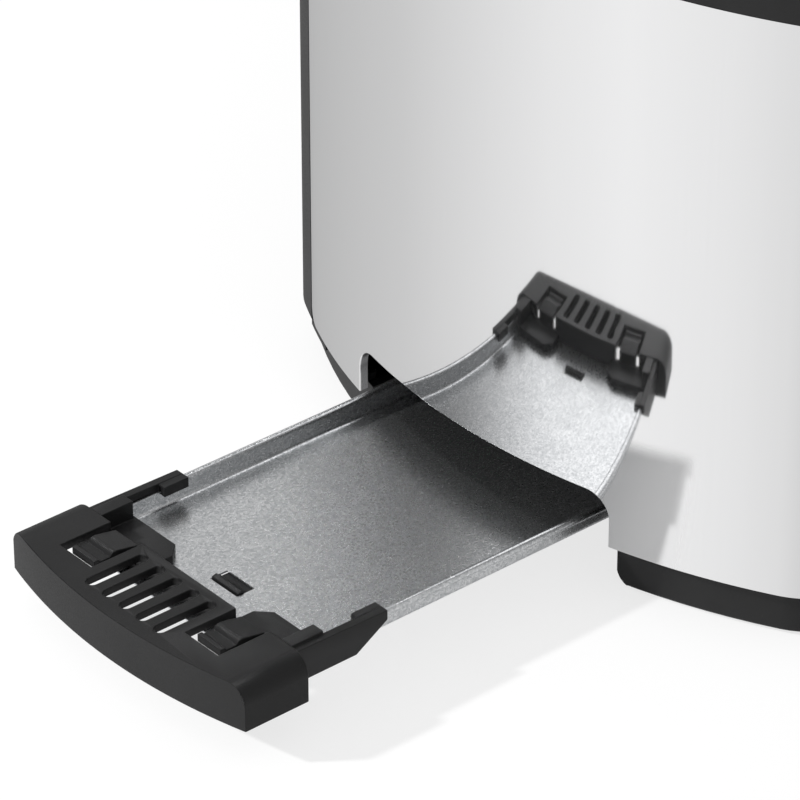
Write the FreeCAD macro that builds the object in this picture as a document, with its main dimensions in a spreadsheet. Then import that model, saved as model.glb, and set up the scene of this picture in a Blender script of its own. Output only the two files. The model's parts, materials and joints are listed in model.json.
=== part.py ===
import FreeCAD, Part
import math
import os

import Sketcher

# Two-slice toaster with a polished steel sleeve, controls on one long side and a crumb tray
# that draws out of one end. Millimetres. +X is the tray end, -Y the control side, +Z up.
# The origin is under the middle of the body, on the surface that it stands on.
# The crumb tray is modelled drawn out, as it rests at joint value 0.

os.makedirs("parts", exist_ok=True)
doc = FreeCAD.newDocument("toaster")
sheet = doc.addObject("Spreadsheet::Sheet", "Sizes")


class Size:
    """A size with its expression for the document and its present value."""

    def __init__(self, text, value):
        self.text = text
        self.value = value

    @staticmethod
    def of(other):
        if isinstance(other, Size):
            return other
        return Size(repr(float(other)), float(other))

    def joined(self, sign, other, value):
        return Size(f"({self.text} {sign} {other.text})", value)

    def __add__(self, other):
        other = Size.of(other)
        return self.joined("+", other, self.value + other.value)

    def __sub__(self, other):
        other = Size.of(other)
        return self.joined("-", other, self.value - other.value)

    def __mul__(self, other):
        other = Size.of(other)
        return self.joined("*", other, self.value * other.value)

    def __truediv__(self, other):
        other = Size.of(other)
        return self.joined("/", other, self.value / other.value)

    def __radd__(self, other):
        return Size.of(other) + self

    def __rsub__(self, other):
        return Size.of(other) - self

    def __rmul__(self, other):
        return Size.of(other) * self

    def __neg__(self):
        return Size.of(0) - self

    def __lt__(self, other):
        return self.value < Size.of(other).value


def root(size):
    """The square root of a size."""
    return Size(f"sqrt({size.text})", math.sqrt(size.value))


row_number = 0


def size(alias, number):
    """One driving dimension, kept in the sheet under its alias."""
    global row_number
    row_number += 1
    sheet.set(f"A{row_number}", alias.replace("_", " "))
    sheet.set(f"B{row_number}", str(number))
    sheet.setAlias(f"B{row_number}", alias)
    return Size(f"Sizes.{alias}", float(number))


# Driving dimensions of the housing
body_length = size("body_length", 290)
body_width = size("body_width", 207)
body_height = size("body_height", 190)
end_radius = size("end_radius", 189)
corner_radius = size("corner_radius", 24)
foot_proud = size("foot_proud", 1)
base_height = size("base_height", 13.2)
cover_height = size("cover_height", 18)
cover_rounding = size("cover_rounding", 8)
sleeve_wall = size("sleeve_wall", 1)
plastic_wall = size("plastic_wall", 3)
skirt_inset = size("skirt_inset", 4)
skirt_bevel = size("skirt_bevel", 0.8)
rim_height = size("rim_height", 5)
rim_wall = size("rim_wall", 2)
rim_gap = size("rim_gap", 0.15)
fascia_proud = size("fascia_proud", 0.8)
fascia_wrap = size("fascia_wrap", 84.1)
seam_gap = size("seam_gap", 0.3)
lip_height = size("lip_height", 5)

# Notch for the tray in the sleeve and the gateway under it in the base
notch_width = size("notch_width", 96.2)
notch_height = size("notch_height", 14.5)
notch_rounding = size("notch_rounding", 7)
notch_return = size("notch_return", 2.6)
gateway_width = size("gateway_width", 94.8)
gateway_rounding = size("gateway_rounding", 1.5)
gateway_flare = size("gateway_flare", 5)
gateway_depth = size("gateway_depth", 26)

# Crumb tray, drawn out of the body by tray_drawn
tray_drawn = size("tray_drawn", 114.5)
handle_drop = size("handle_drop", 4.7)
handle_width = size("handle_width", 92)
handle_height = size("handle_height", 12.9)
handle_radius = size("handle_radius", 172)
handle_bow = size("handle_bow", 10)
handle_depth = size("handle_depth", 15.8)
handle_rounding = size("handle_rounding", 5.5)
handle_wall = size("handle_wall", 2.2)
tongue_width = size("tongue_width", 37)
clip_gap_width = size("clip_gap_width", 12.7)
vent_count = 5
vent_pitch = size("vent_pitch", 6.7)
vent_width = size("vent_width", 3.3)
vent_rounding = size("vent_rounding", 1.64)
vent_front = size("vent_front", 5.3)
vent_back = size("vent_back", 13.2)
clip_margin = size("clip_margin", 1.8)
clip_front = size("clip_front", 2.2)
clip_ridge = size("clip_ridge", 1.4)
clip_sink = size("clip_sink", 0.5)
clip_ledge = size("clip_ledge", 1.2)
clip_riser = size("clip_riser", 7)
clip_bevel = size("clip_bevel", 0.9)
clip_crest = size("clip_crest", 9.2)
clip_crest_sink = size("clip_crest_sink", 0.1)
clip_fall = size("clip_fall", 1.4)
clip_thickness = size("clip_thickness", 1.5)
flap_reach = size("flap_reach", 26.8)
flap_inner = size("flap_inner", 15.8)
flap_chamfer = size("flap_chamfer", 3.7)
flap_thickness = size("flap_thickness", 2.7)
shoulder_reach = size("shoulder_reach", 26)
shoulder_width = size("shoulder_width", 3.4)
shoulder_sink = size("shoulder_sink", 0.3)
arm_reach = size("arm_reach", 44.6)
arm_thickness = size("arm_thickness", 2.4)
arm_bottom = size("arm_bottom", 2.6)
arm_sink = size("arm_sink", 0.9)
arm_fall = size("arm_fall", 0.6)
arm_slant_length = size("arm_slant_length", 9.9)
arm_slant_height = size("arm_slant_height", 6)
hook_length = size("hook_length", 7.8)
hook_width = size("hook_width", 2.3)
hook_height = size("hook_height", 2.9)
pan_floor = size("pan_floor", 4.1)
pan_sheet = size("pan_sheet", 0.6)
pan_inner_width = size("pan_inner_width", 76.4)
pan_rim_height = size("pan_rim_height", 10.5)
pan_bead = size("pan_bead", 1.05)
pan_rounding = size("pan_rounding", 0.9)
pan_length = size("pan_length", 209.5)
pan_under_handle = size("pan_under_handle", 10.9)
window_width = size("window_width", 11.2)
window_length = size("window_length", 6.1)
window_place = size("window_place", 26.4)
catch_gap = size("catch_gap", 0.4)
catch_length = size("catch_length", 2.6)
catch_rise = size("catch_rise", 0.9)
strip_thickness = size("strip_thickness", 1.6)
strip_foot = size("strip_foot", 4.8)
strip_foot_width = size("strip_foot_width", 60)
runner_gap = size("runner_gap", 0.05)
runner_width = size("runner_width", 2)
runner_place = size("runner_place", 33)
guide_gap = size("guide_gap", 0.6)

# Base moulding and its feet
base_floor = size("base_floor", 5)
base_plate = size("base_plate", 2.5)
pad_radius = size("pad_radius", 8)
pad_height = size("pad_height", 3)
pad_boss_wall = size("pad_boss_wall", 2)
pad_place_x = size("pad_place_x", 92)
pad_place_y = size("pad_place_y", 82)

# Chassis of sheet steel round the two bread wells
well_length = size("well_length", 150)
well_place = size("well_place", 24)
slot_width = size("slot_width", 33)
slot_rounding = size("slot_rounding", 6)
slot_collar = size("slot_collar", 1.75)
chassis_sheet = size("chassis_sheet", 1)
chassis_width = size("chassis_width", 108)
tray_room = size("tray_room", 10)
leg_width = size("leg_width", 8)
foot_flange = size("foot_flange", 12)
top_plate_gap = size("top_plate_gap", 3)
rod_overhang = size("rod_overhang", 36)

# Heater boards with ribbon windings
board_offset = size("board_offset", 18)
board_thickness = size("board_thickness", 0.8)
board_bottom = size("board_bottom", 40)
board_top = size("board_top", 152)
ribbon_count = 12
ribbon_thickness = size("ribbon_thickness", 0.3)
ribbon_width = size("ribbon_width", 2)
ribbon_margin = size("ribbon_margin", 8)

# Bread guides, hinged at their lower wire
guide_offset = size("guide_offset", 14)
wire_radius = size("wire_radius", 0.9)
hinge_play = size("hinge_play", 0.05)
guide_hinge_height = size("guide_hinge_height", 34)
guide_top = size("guide_top", 150)
guide_wire_count = 6
guide_wire_pitch = size("guide_wire_pitch", 26.4)

# Carriage with the bread racks, the lever and the latch
rack_top = size("rack_top", 128)
rack_width = size("rack_width", 16)
rack_plate = size("rack_plate", 1.2)
rack_blade = size("rack_blade", 2)
rack_blade_height = size("rack_blade_height", 10)
rack_end_gap = size("rack_end_gap", 4)
rack_tooth = size("rack_tooth", 5)
rack_tooth_count = 6
rack_tooth_pitch = size("rack_tooth_pitch", 24)
block_above_rack = size("block_above_rack", 10)
carriage_travel = size("carriage_travel", 85)
travel_room = size("travel_room", 2)
slot_play = size("slot_play", 1.5)
rod_radius = size("rod_radius", 3)
rod_play = size("rod_play", 0.06)
rod_place_x = size("rod_place_x", 98)
rod_place_y = size("rod_place_y", 9)
block_length = size("block_length", 12)
block_width = size("block_width", 32)
block_height = size("block_height", 28)
cross_plate_width = size("cross_plate_width", 68)
cross_plate_sheet = size("cross_plate_sheet", 1.5)
lever_thickness = size("lever_thickness", 4)
lever_height = size("lever_height", 9)
lever_above_block = size("lever_above_block", 8)
lever_slot_play = size("lever_slot_play", 1.2)
lever_knob_gap = size("lever_knob_gap", 0.8)
lever_knob_depth = size("lever_knob_depth", 15)
lever_knob_width = size("lever_knob_width", 26)
lever_knob_height = size("lever_knob_height", 17)
lever_knob_rounding = size("lever_knob_rounding", 3)
lever_knob_bevel = size("lever_knob_bevel", 1.5)
lever_grip = size("lever_grip", 6)
spring_radius = size("spring_radius", 4)
spring_wire = size("spring_wire", 1)
armature_length = size("armature_length", 16)
armature_width = size("armature_width", 18)
armature_thickness = size("armature_thickness", 2)
armature_place = size("armature_place", 26)
magnet_gap = size("magnet_gap", 0.3)
magnet_core = size("magnet_core", 3)
switch_length = size("switch_length", 16)
switch_width = size("switch_width", 14)
switch_height = size("switch_height", 13)
switch_place = size("switch_place", 30)

# Controls on the fascia
control_board_left = size("control_board_left", 62)
control_board_right = size("control_board_right", 78)
control_board_low = size("control_board_low", 38)
control_board_high = size("control_board_high", 120)
control_board_sheet = size("control_board_sheet", 1.6)
control_board_depth = size("control_board_depth", 17)
board_boss_radius = size("board_boss_radius", 3.5)
board_boss_margin = size("board_boss_margin", 6)
screw_radius = size("screw_radius", 1.5)
screw_play = size("screw_play", 0.05)
screw_head_radius = size("screw_head_radius", 3)
screw_head_height = size("screw_head_height", 2)
screw_length = size("screw_length", 9)
knob_place_x = size("knob_place_x", 45)
knob_place_z = size("knob_place_z", 92)
knob_radius = size("knob_radius", 18)
knob_depth = size("knob_depth", 14)
knob_gap = size("knob_gap", 0.6)
knob_bevel = size("knob_bevel", 1.5)
knob_grip_depth = size("knob_grip_depth", 5)
knob_socket_depth = size("knob_socket_depth", 9)
pointer_width = size("pointer_width", 2)
pointer_depth = size("pointer_depth", 0.6)
pointer_start = size("pointer_start", 6)
pointer_end = size("pointer_end", 15.3)
shaft_radius = size("shaft_radius", 3)
shaft_play = size("shaft_play", 0.05)
shaft_hole_radius = size("shaft_hole_radius", 5)
pot_radius = size("pot_radius", 9)
pot_height = size("pot_height", 8)
button_count = 3
button_pitch = size("button_pitch", 24)
button_place_x = size("button_place_x", -44)
button_place_z = size("button_place_z", 92)
button_radius = size("button_radius", 7.5)
button_gap = size("button_gap", 0.3)
button_proud = size("button_proud", 3)
button_travel = size("button_travel", 1.6)
button_flange = size("button_flange", 1.8)
button_flange_thickness = size("button_flange_thickness", 1.5)
button_stem_radius = size("button_stem_radius", 3)
button_switch_side = size("button_switch_side", 8)
button_switch_height = size("button_switch_height", 4)

# Cord outlet in the back of the base
outlet_place_x = size("outlet_place_x", -80)
outlet_radius = size("outlet_radius", 4.6)
outlet_bore = size("outlet_bore", 3.4)
outlet_flange = size("outlet_flange", 1.2)
outlet_flange_thickness = size("outlet_flange_thickness", 1.5)
outlet_inside = size("outlet_inside", 5)
terminal_length = size("terminal_length", 24)
terminal_width = size("terminal_width", 12)
terminal_height = size("terminal_height", 11)
cutter_margin = size("cutter_margin", 10)

doc.recompute()

# Levels and places that follow from the driving dimensions
ZERO = Size.of(0)
base_rim = foot_proud
sleeve_bottom = base_rim + base_height
sleeve_top = body_height - cover_height
floor_low = base_rim + base_floor
floor_top = floor_low + base_plate
end_x = body_length / 2
side_y = body_width / 2
notch_top = sleeve_bottom + notch_height
handle_low = sleeve_bottom - handle_drop
handle_top = handle_low + handle_height
tray_zero = end_x + tray_drawn - handle_bow
pan_low = handle_low + pan_floor
pan_inner = pan_low + pan_sheet
rim_top = handle_low + pan_rim_height
pan_half = pan_inner_width / 2
pan_outer = pan_half + 2 * pan_bead
pan_nose = pan_half - 2 * pan_sheet
pan_wall_top = rim_top - pan_bead
arm_inner = pan_half + pan_sheet + 2 * runner_gap
pan_front = tray_zero - pan_under_handle
pan_back = pan_front - pan_length
well_end = well_length / 2
plate_out = well_end + chassis_sheet
tray_clear = rim_top + tray_room
plate_top = sleeve_top - top_plate_gap - chassis_sheet
tray_gate = pan_outer + guide_gap + runner_width
chassis_side = chassis_width / 2
fascia_outer = side_y + fascia_proud
fascia_inner = fascia_outer - plastic_wall
block_top = rack_top + block_above_rack
block_low = block_top - block_height
armature_low = block_low - armature_thickness
magnet_top = armature_low - carriage_travel - magnet_gap
lever_low = block_low + lever_above_block
lever_mid = lever_low + lever_height / 2
board_face = fascia_inner - control_board_depth
outlet_z = base_rim + base_height / 2


def bind(thing, name, amount):
    """Set a property from the sheet."""
    thing.setExpression(name, Size.of(amount).text)


def place(thing, x, y, z):
    """Bind a placement's position."""
    bind(thing, "Placement.Base.x", x)
    bind(thing, "Placement.Base.y", y)
    bind(thing, "Placement.Base.z", z)


def box(low, high):
    """A block between two corners."""
    block = doc.addObject("Part::Box", "block")
    bind(block, "Length", high[0] - low[0])
    bind(block, "Width", high[1] - low[1])
    bind(block, "Height", high[2] - low[2])
    place(block, *low)
    return block


TURNED_ALONG = {
    "x": (FreeCAD.Vector(0, 1, 0), 90),
    "y": (FreeCAD.Vector(1, 0, 0), -90),
    "z": (FreeCAD.Vector(0, 0, 1), 0),
}


def rod(start, radius, length, along="z"):
    """A round bar from its start point along one axis."""
    bar = doc.addObject("Part::Cylinder", "rod")
    bind(bar, "Radius", radius)
    bind(bar, "Height", length)
    bar.Placement = FreeCAD.Placement(FreeCAD.Vector(), FreeCAD.Rotation(*TURNED_ALONG[along]))
    place(bar, *start)
    return bar


def fused(pieces, name="joined"):
    """Several solids as one."""
    whole = doc.addObject("Part::MultiFuse", name)
    whole.Shapes = pieces
    whole.Refine = True
    return whole


def gathered(pieces, name="group"):
    """Separate solids of one group."""
    whole = doc.addObject("Part::Compound", name)
    whole.Links = pieces
    return whole


def shared(pieces, name="common"):
    """What several solids have in common."""
    whole = doc.addObject("Part::MultiCommon", name)
    whole.Shapes = pieces
    return whole


def cut(base, tools, name="cut"):
    """A solid less its tools."""
    less = doc.addObject("Part::Cut", name)
    less.Base = base
    less.Tool = tools[0] if len(tools) == 1 else gathered(tools)
    less.Refine = True
    return less


nodes = []


def node(piece, label):
    """Name a finished sub-part."""
    piece.Label = label
    nodes.append(piece)
    return piece


PLANES = {"z": "XY_Plane", "y": "XZ_Plane", "x": "YZ_Plane"}


def new_sketch(body, normal, start, end):
    """A sketch across one axis, from which a pad of the distance start to end can rise."""
    sketch = body.newObject("Sketcher::SketchObject", "outline")
    role = PLANES[normal]
    plane = [item for item in body.Origin.OriginFeatures if item.Role == role][0]
    sketch.AttachmentSupport = [(plane, "")]
    sketch.MapMode = "FlatFace"
    bind(sketch, "AttachmentOffset.Base.z", -end if normal == "y" else start)
    return sketch


def pad(body, sketch, length):
    """Raise a sketch into a solid."""
    raised = body.newObject("PartDesign::Pad", "pad")
    raised.Profile = sketch
    bind(raised, "Length", length)
    doc.recompute()
    return raised


def constrain(sketch, constraint, amount):
    """Add one dimension to a sketch and bind it."""
    index = sketch.addConstraint(constraint)
    bind(sketch, f"Constraints[{index}]", amount)


def polygon(points, normal, start, end):
    """A straight-sided profile across one axis, raised from start to end."""
    body = doc.addObject("PartDesign::Body", "profile")
    sketch = new_sketch(body, normal, start, end)
    count = len(points)
    corners = [FreeCAD.Vector(a.value, b.value, 0) for a, b in points]
    for index in range(count):
        sketch.addGeometry(Part.LineSegment(corners[index], corners[(index + 1) % count]))
    for index in range(count):
        sketch.addConstraint(Sketcher.Constraint("Coincident", index, 2, (index + 1) % count, 1))
    for index, (a, b) in enumerate(points):
        constrain(sketch, Sketcher.Constraint("DistanceX", -1, 1, index, 1, a.value), a)
        constrain(sketch, Sketcher.Constraint("DistanceY", -1, 1, index, 1, b.value), b)
    pad(body, sketch, end - start)
    return body


def worked_edges(body, kind, size_name, amount, chosen):
    """Round or bevel the edges of a body that chosen picks by their ends."""
    base = body.Tip
    picked = []
    for index, edge in enumerate(base.Shape.Edges):
        if chosen(edge):
            picked.append(f"Edge{index + 1}")
    worked = body.newObject(kind, "worked_edges")
    worked.Base = (base, picked)
    bind(worked, size_name, amount)
    doc.recompute()
    body.Tip = worked
    return body


def round_edges(body, radius, chosen):
    """Round the chosen edges of a body."""
    return worked_edges(body, "PartDesign::Fillet", "Radius", radius, chosen)


def bevel_edges(body, width, chosen):
    """Bevel the chosen edges of a body."""
    return worked_edges(body, "PartDesign::Chamfer", "Size", width, chosen)


def runs_along(edge, axis):
    """Whether a straight edge runs along an axis."""
    if len(edge.Vertexes) < 2 or not isinstance(edge.Curve, Part.Line):
        return False
    span = edge.Vertexes[1].Point - edge.Vertexes[0].Point
    return abs(span[axis]) > 0.999 * span.Length


def lies_at(edge, axis, height):
    """Whether an edge lies wholly at one level of an axis."""
    return all(abs(vertex.Point[axis] - height.value) < 1e-4 for vertex in edge.Vertexes)


def house_outline(inset, low, high):
    """The housing's plan outline, set in by inset, raised from low to high.

    Both ends are wide arcs, the long sides are straight and the corners are rounded.
    """
    body = doc.addObject("PartDesign::Body", "housing")
    sketch = new_sketch(body, "z", low, high)
    arc_centre = end_x - end_radius
    corner_y = side_y - corner_radius
    reach = end_radius - corner_radius
    corner_x = arc_centre + root(reach * reach - corner_y * corner_y)
    wide = end_radius - inset
    tight = corner_radius - inset
    side = side_y - inset
    turn = math.atan2(corner_y.value, (corner_x - arc_centre).value)
    up = FreeCAD.Vector(0, 0, 1)
    half = math.pi / 2

    def arc(x, y, radius, first, last):
        circle = Part.Circle(FreeCAD.Vector(x, y, 0), up, radius)
        return Part.ArcOfCircle(circle, first, last)

    cx, kx, ky = arc_centre.value, corner_x.value, corner_y.value
    near_end = arc(cx, 0, wide.value, -turn, turn)
    near_left = arc(kx, ky, tight.value, turn, half)
    left_side = Part.LineSegment(FreeCAD.Vector(kx, side.value, 0), FreeCAD.Vector(-kx, side.value, 0))
    far_left = arc(-kx, ky, tight.value, half, math.pi - turn)
    far_end = arc(-cx, 0, wide.value, math.pi - turn, math.pi + turn)
    far_right = arc(-kx, -ky, tight.value, math.pi + turn, 3 * half)
    right_side = Part.LineSegment(FreeCAD.Vector(-kx, -side.value, 0), FreeCAD.Vector(kx, -side.value, 0))
    near_right = arc(kx, -ky, tight.value, 3 * half, 4 * half - turn)
    pieces = [near_end, near_left, left_side, far_left, far_end, far_right, right_side, near_right]
    sketch.addGeometry(pieces)
    for index in range(8):
        sketch.addConstraint(Sketcher.Constraint("Tangent", index, 2, (index + 1) % 8, 1))
    for index, radius in ((0, wide), (4, wide), (1, tight), (3, tight), (5, tight), (7, tight)):
        constrain(sketch, Sketcher.Constraint("Radius", index, radius.value), radius)
    for index, x in ((0, arc_centre), (4, -arc_centre)):
        sketch.addConstraint(Sketcher.Constraint("PointOnObject", index, 3, -1))
        constrain(sketch, Sketcher.Constraint("DistanceX", -1, 1, index, 3, x.value), x)
    for index, y in ((2, side), (6, -side)):
        sketch.addConstraint(Sketcher.Constraint("Horizontal", index))
        constrain(sketch, Sketcher.Constraint("DistanceY", -1, 1, index, 1, y.value), y)
    pad(body, sketch, high - low)
    return body


def rounded_slab(low, high, radius, axis=2):
    """A block whose edges along one axis are rounded."""
    corners = {
        2: [(low[0], low[1]), (high[0], low[1]), (high[0], high[1]), (low[0], high[1])],
        1: [(low[0], low[2]), (high[0], low[2]), (high[0], high[2]), (low[0], high[2])],
        0: [(low[1], low[2]), (high[1], low[2]), (high[1], high[2]), (low[1], high[2])],
    }[axis]
    normal = {2: "z", 1: "y", 0: "x"}[axis]
    body = polygon(corners, normal, low[axis], high[axis])
    return round_edges(body, radius, lambda edge: runs_along(edge, axis))


def base_ledge(inset):
    """Ledge and upstand round the base's top, inside a shell whose inner face is inset by inset."""
    outer = inset + rim_gap
    top = sleeve_bottom + rim_height
    ledge = house_outline(outer, sleeve_bottom, top)
    above = house_outline(outer + rim_wall, sleeve_bottom + rim_wall, top + cutter_margin)
    inside = house_outline(skirt_inset + plastic_wall, sleeve_bottom - cutter_margin, top + cutter_margin)
    return cut(ledge, [above, inside])


def gateway_tool(mouth):
    """The space under the tray, flared at its lower corners, for cutting."""
    gate = gateway_width / 2
    far = end_x + cutter_margin
    low = base_rim - cutter_margin
    top = sleeve_bottom + cutter_margin
    passage = rounded_slab((mouth, -gate, low), (far, gate, top), gateway_rounding)
    wide = gate + gateway_flare
    flare_top = base_rim + gateway_flare
    skirt_only = end_x - handle_bow - notch_return
    flare = box((skirt_only, -wide, low), (far, wide, flare_top))
    lobes = [rod((skirt_only, y, flare_top), gateway_flare, far - skirt_only, "x") for y in (wide, -wide)]
    return [passage, cut(flare, lobes)]


def tray_runners(mouth):
    """Two rails under the pan and two guides beside it."""
    start = pan_back - tray_drawn - guide_gap
    guide_end = end_x - handle_bow - arm_reach - 2 * guide_gap
    beside = pan_outer + guide_gap
    runners = []
    for side in (1, -1):
        low, high = sorted((runner_place * side, (runner_place + runner_width) * side))
        runners.append(box((start, low, floor_low), (mouth, high, pan_low - runner_gap)))
        low, high = sorted((beside * side, (beside + runner_width) * side))
        runners.append(box((start, low, floor_low), (guide_end, high, rim_top - pan_bead)))
    return runners


def make_base():
    """Black moulding: skirt with a ledge for the shells, floor, tray runners, foot bosses, gateway."""
    hull = house_outline(skirt_inset, base_rim, sleeve_bottom)
    bevel_edges(hull, skirt_bevel, lambda edge: lies_at(edge, 2, base_rim))
    wall = skirt_inset + plastic_wall
    under = house_outline(wall, base_rim - cutter_margin, floor_low)
    inside = house_outline(wall, floor_top, sleeve_bottom + cutter_margin)
    notch_room = notch_prism(notch_return, ZERO, end_x)
    sleeve_ledge = cut(base_ledge(sleeve_wall), [fascia_space(fascia_wrap), notch_room])
    fascia_ledge = shared([base_ledge(plastic_wall - fascia_proud), fascia_space(fascia_wrap)])
    gate = gateway_width / 2
    cheek = gate + plastic_wall
    mouth = end_x - gateway_depth
    cheeks = []
    for side in (1, -1):
        low, high = sorted((gate * side, cheek * side))
        cheeks.append(box((mouth, low, base_rim), (end_x, high, sleeve_bottom)))
    cheek_ends = shared([fused(cheeks), house_outline(skirt_inset, base_rim, sleeve_bottom)])
    bosses = []
    tools = gateway_tool(mouth)
    for x, y in foot_places():
        bosses.append(rod((x, y, base_rim), pad_radius + pad_boss_wall, floor_low - base_rim))
        tools.append(rod((x, y, ZERO), pad_radius, pad_height))
    for y in (rod_place_y, -rod_place_y):
        tools.append(rod((-rod_place_x, y, floor_low), rod_radius, cutter_margin))
    outlet_start = (outlet_place_x, side_y - wall - cutter_margin, outlet_z)
    tools.append(rod(outlet_start, outlet_radius, wall + 2 * cutter_margin, "y"))
    shell = cut(hull, [under, inside])
    whole = fused([shell, sleeve_ledge, fascia_ledge, cheek_ends] + tray_runners(mouth) + bosses)
    return node(cut(whole, tools + screw_holes(), "base"), "base")


def foot_places():
    """Where the rubber feet are."""
    return [(x, y) for x in (pad_place_x, -pad_place_x) for y in (pad_place_y, -pad_place_y)]


def screw_places():
    """Where the screws pass from the base into the feet of the chassis end plates."""
    x = plate_out + foot_flange / 2
    y = chassis_side - leg_width / 2
    return [(x, y), (x, -y), (-x, y), (-x, -y)]


def screw_holes():
    """Clearance holes for the base screws, for cutting."""
    radius = screw_radius + screw_play
    return [rod((x, y, ZERO), radius, floor_top + cutter_margin) for x, y in screw_places()]


def make_rubber_feet():
    """Four round pads pressed into the foot bosses, proud of the rim."""
    pads = [rod((x, y, ZERO), pad_radius, pad_height) for x, y in foot_places()]
    return node(gathered(pads, "rubber_feet"), "rubber_feet")


def make_base_screws():
    """Four screws with their heads under the floor plate."""
    screws = []
    for x, y in screw_places():
        head = rod((x, y, floor_low - screw_head_height), screw_head_radius, screw_head_height)
        shank = rod((x, y, floor_low), screw_radius, screw_length - screw_head_height)
        screws.append(fused([head, shank]))
    return node(gathered(screws, "base_screws"), "base_screws")


def notch_prism(grow, start, end):
    """The notch's arched outline, grown outwards by grow, along X."""
    half = notch_width / 2 + grow
    low = sleeve_bottom - cutter_margin
    high = notch_top + grow
    outline = [(-half, low), (half, low), (half, high), (-half, high)]
    body = polygon(outline, "x", start, end)
    return round_edges(
        body,
        notch_rounding + grow,
        lambda edge: runs_along(edge, 0) and lies_at(edge, 2, high),
    )


def fascia_space(wrap):
    """Everything on the control side of the seam between fascia and sleeve."""
    reach = end_x + cutter_margin
    far = side_y + cutter_margin
    return box((-reach, -far, ZERO), (reach, -wrap, body_height))


def make_outer_sleeve():
    """Polished steel sleeve round both ends and the back, with a notch for the tray."""
    outer = house_outline(ZERO, sleeve_bottom, sleeve_top)
    inner = house_outline(sleeve_wall, sleeve_bottom - cutter_margin, sleeve_top + cutter_margin)
    skin = cut(outer, [inner])
    band_outer = house_outline(ZERO, sleeve_bottom, notch_top + cutter_margin)
    band_inner = house_outline(notch_return, sleeve_bottom - cutter_margin, notch_top + 2 * cutter_margin)
    start = end_x - cutter_margin - corner_radius
    end = end_x + cutter_margin
    collar = shared([cut(band_outer, [band_inner]), notch_prism(sleeve_wall, start, end)])
    whole = fused([skin, collar])
    tools = [notch_prism(ZERO, start - cutter_margin, end + cutter_margin), fascia_space(fascia_wrap)]
    return node(cut(whole, tools, "outer_sleeve"), "outer_sleeve")


def button_places():
    """Where the buttons stand on the fascia."""
    return [button_place_x + button_pitch * index for index in range(button_count)]


def board_boss_places():
    """Where the bosses for the control board stand."""
    left = board_boss_margin - control_board_left
    right = control_board_right - board_boss_margin
    low = control_board_low + board_boss_margin
    high = control_board_high - board_boss_margin
    return [(left, low), (right, low), (right, high), (left, high)]


def make_front_fascia():
    """Black control panel that wraps both corners, with lever slot, openings and bosses."""
    outer = house_outline(-fascia_proud, sleeve_bottom, sleeve_top)
    above = sleeve_top + cutter_margin
    inner = house_outline(plastic_wall - fascia_proud, sleeve_bottom - cutter_margin, above)
    skin = shared([cut(outer, [inner]), fascia_space(fascia_wrap + seam_gap)])
    bosses = []
    pilots = []
    root_y = -fascia_inner - plastic_wall / 2
    for x, z in board_boss_places():
        bosses.append(rod((x, root_y, z), board_boss_radius, -board_face - root_y, "y"))
        pilots.append(rod((x, -fascia_inner, z), screw_radius + screw_play, 2 * control_board_depth, "y"))
    through = plastic_wall + 2 * cutter_margin
    behind = -fascia_outer - cutter_margin
    slot_low = lever_low - carriage_travel - travel_room
    slot_high = lever_low + lever_height + travel_room
    slot_half = lever_thickness / 2 + lever_slot_play
    openings = [
        rounded_slab(
            (-rod_place_x - slot_half, behind, slot_low),
            (-rod_place_x + slot_half, behind + through, slot_high),
            slot_half / 2,
            1,
        ),
        rod((knob_place_x, behind, knob_place_z), shaft_hole_radius, through, "y"),
    ]
    for x in button_places():
        openings.append(rod((x, behind, button_place_z), button_radius + button_gap, through, "y"))
    return node(cut(fused([skin] + bosses), openings + pilots, "front_fascia"), "front_fascia")


def slot_tool(y, low, high, grow):
    """One bread slot as a solid, for cutting."""
    reach = well_end + grow
    half = slot_width / 2 + grow
    return rounded_slab((-reach, y - half, low), (reach, y + half, high), slot_rounding + grow)


def make_top_cover():
    """Black moulded cover with two bread slots, seated on the sleeve and the fascia."""
    outer = house_outline(ZERO, sleeve_top, body_height)
    round_edges(outer, cover_rounding, lambda edge: lies_at(edge, 2, body_height))
    inner = house_outline(plastic_wall, sleeve_top - cutter_margin, body_height - plastic_wall)
    inset = plastic_wall - fascia_proud + rim_gap
    lip_low = sleeve_top - lip_height
    bridge_top = sleeve_top + plastic_wall
    lip_inside = house_outline(inset + plastic_wall, lip_low - cutter_margin, bridge_top + cutter_margin)
    lip = cut(house_outline(inset, lip_low, bridge_top), [lip_inside])
    bridge = cut(house_outline(plastic_wall / 2, sleeve_top, bridge_top), [lip_inside])
    collars = []
    tools = []
    for y in (well_place, -well_place):
        collars.append(slot_tool(y, plate_top + chassis_sheet, body_height - plastic_wall / 2, slot_collar))
        tools.append(slot_tool(y, plate_top - cutter_margin, body_height + cutter_margin, ZERO))
    shell = cut(outer, [inner])
    return node(cut(fused([shell, lip, bridge] + collars), tools, "top_cover"), "top_cover")


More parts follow.
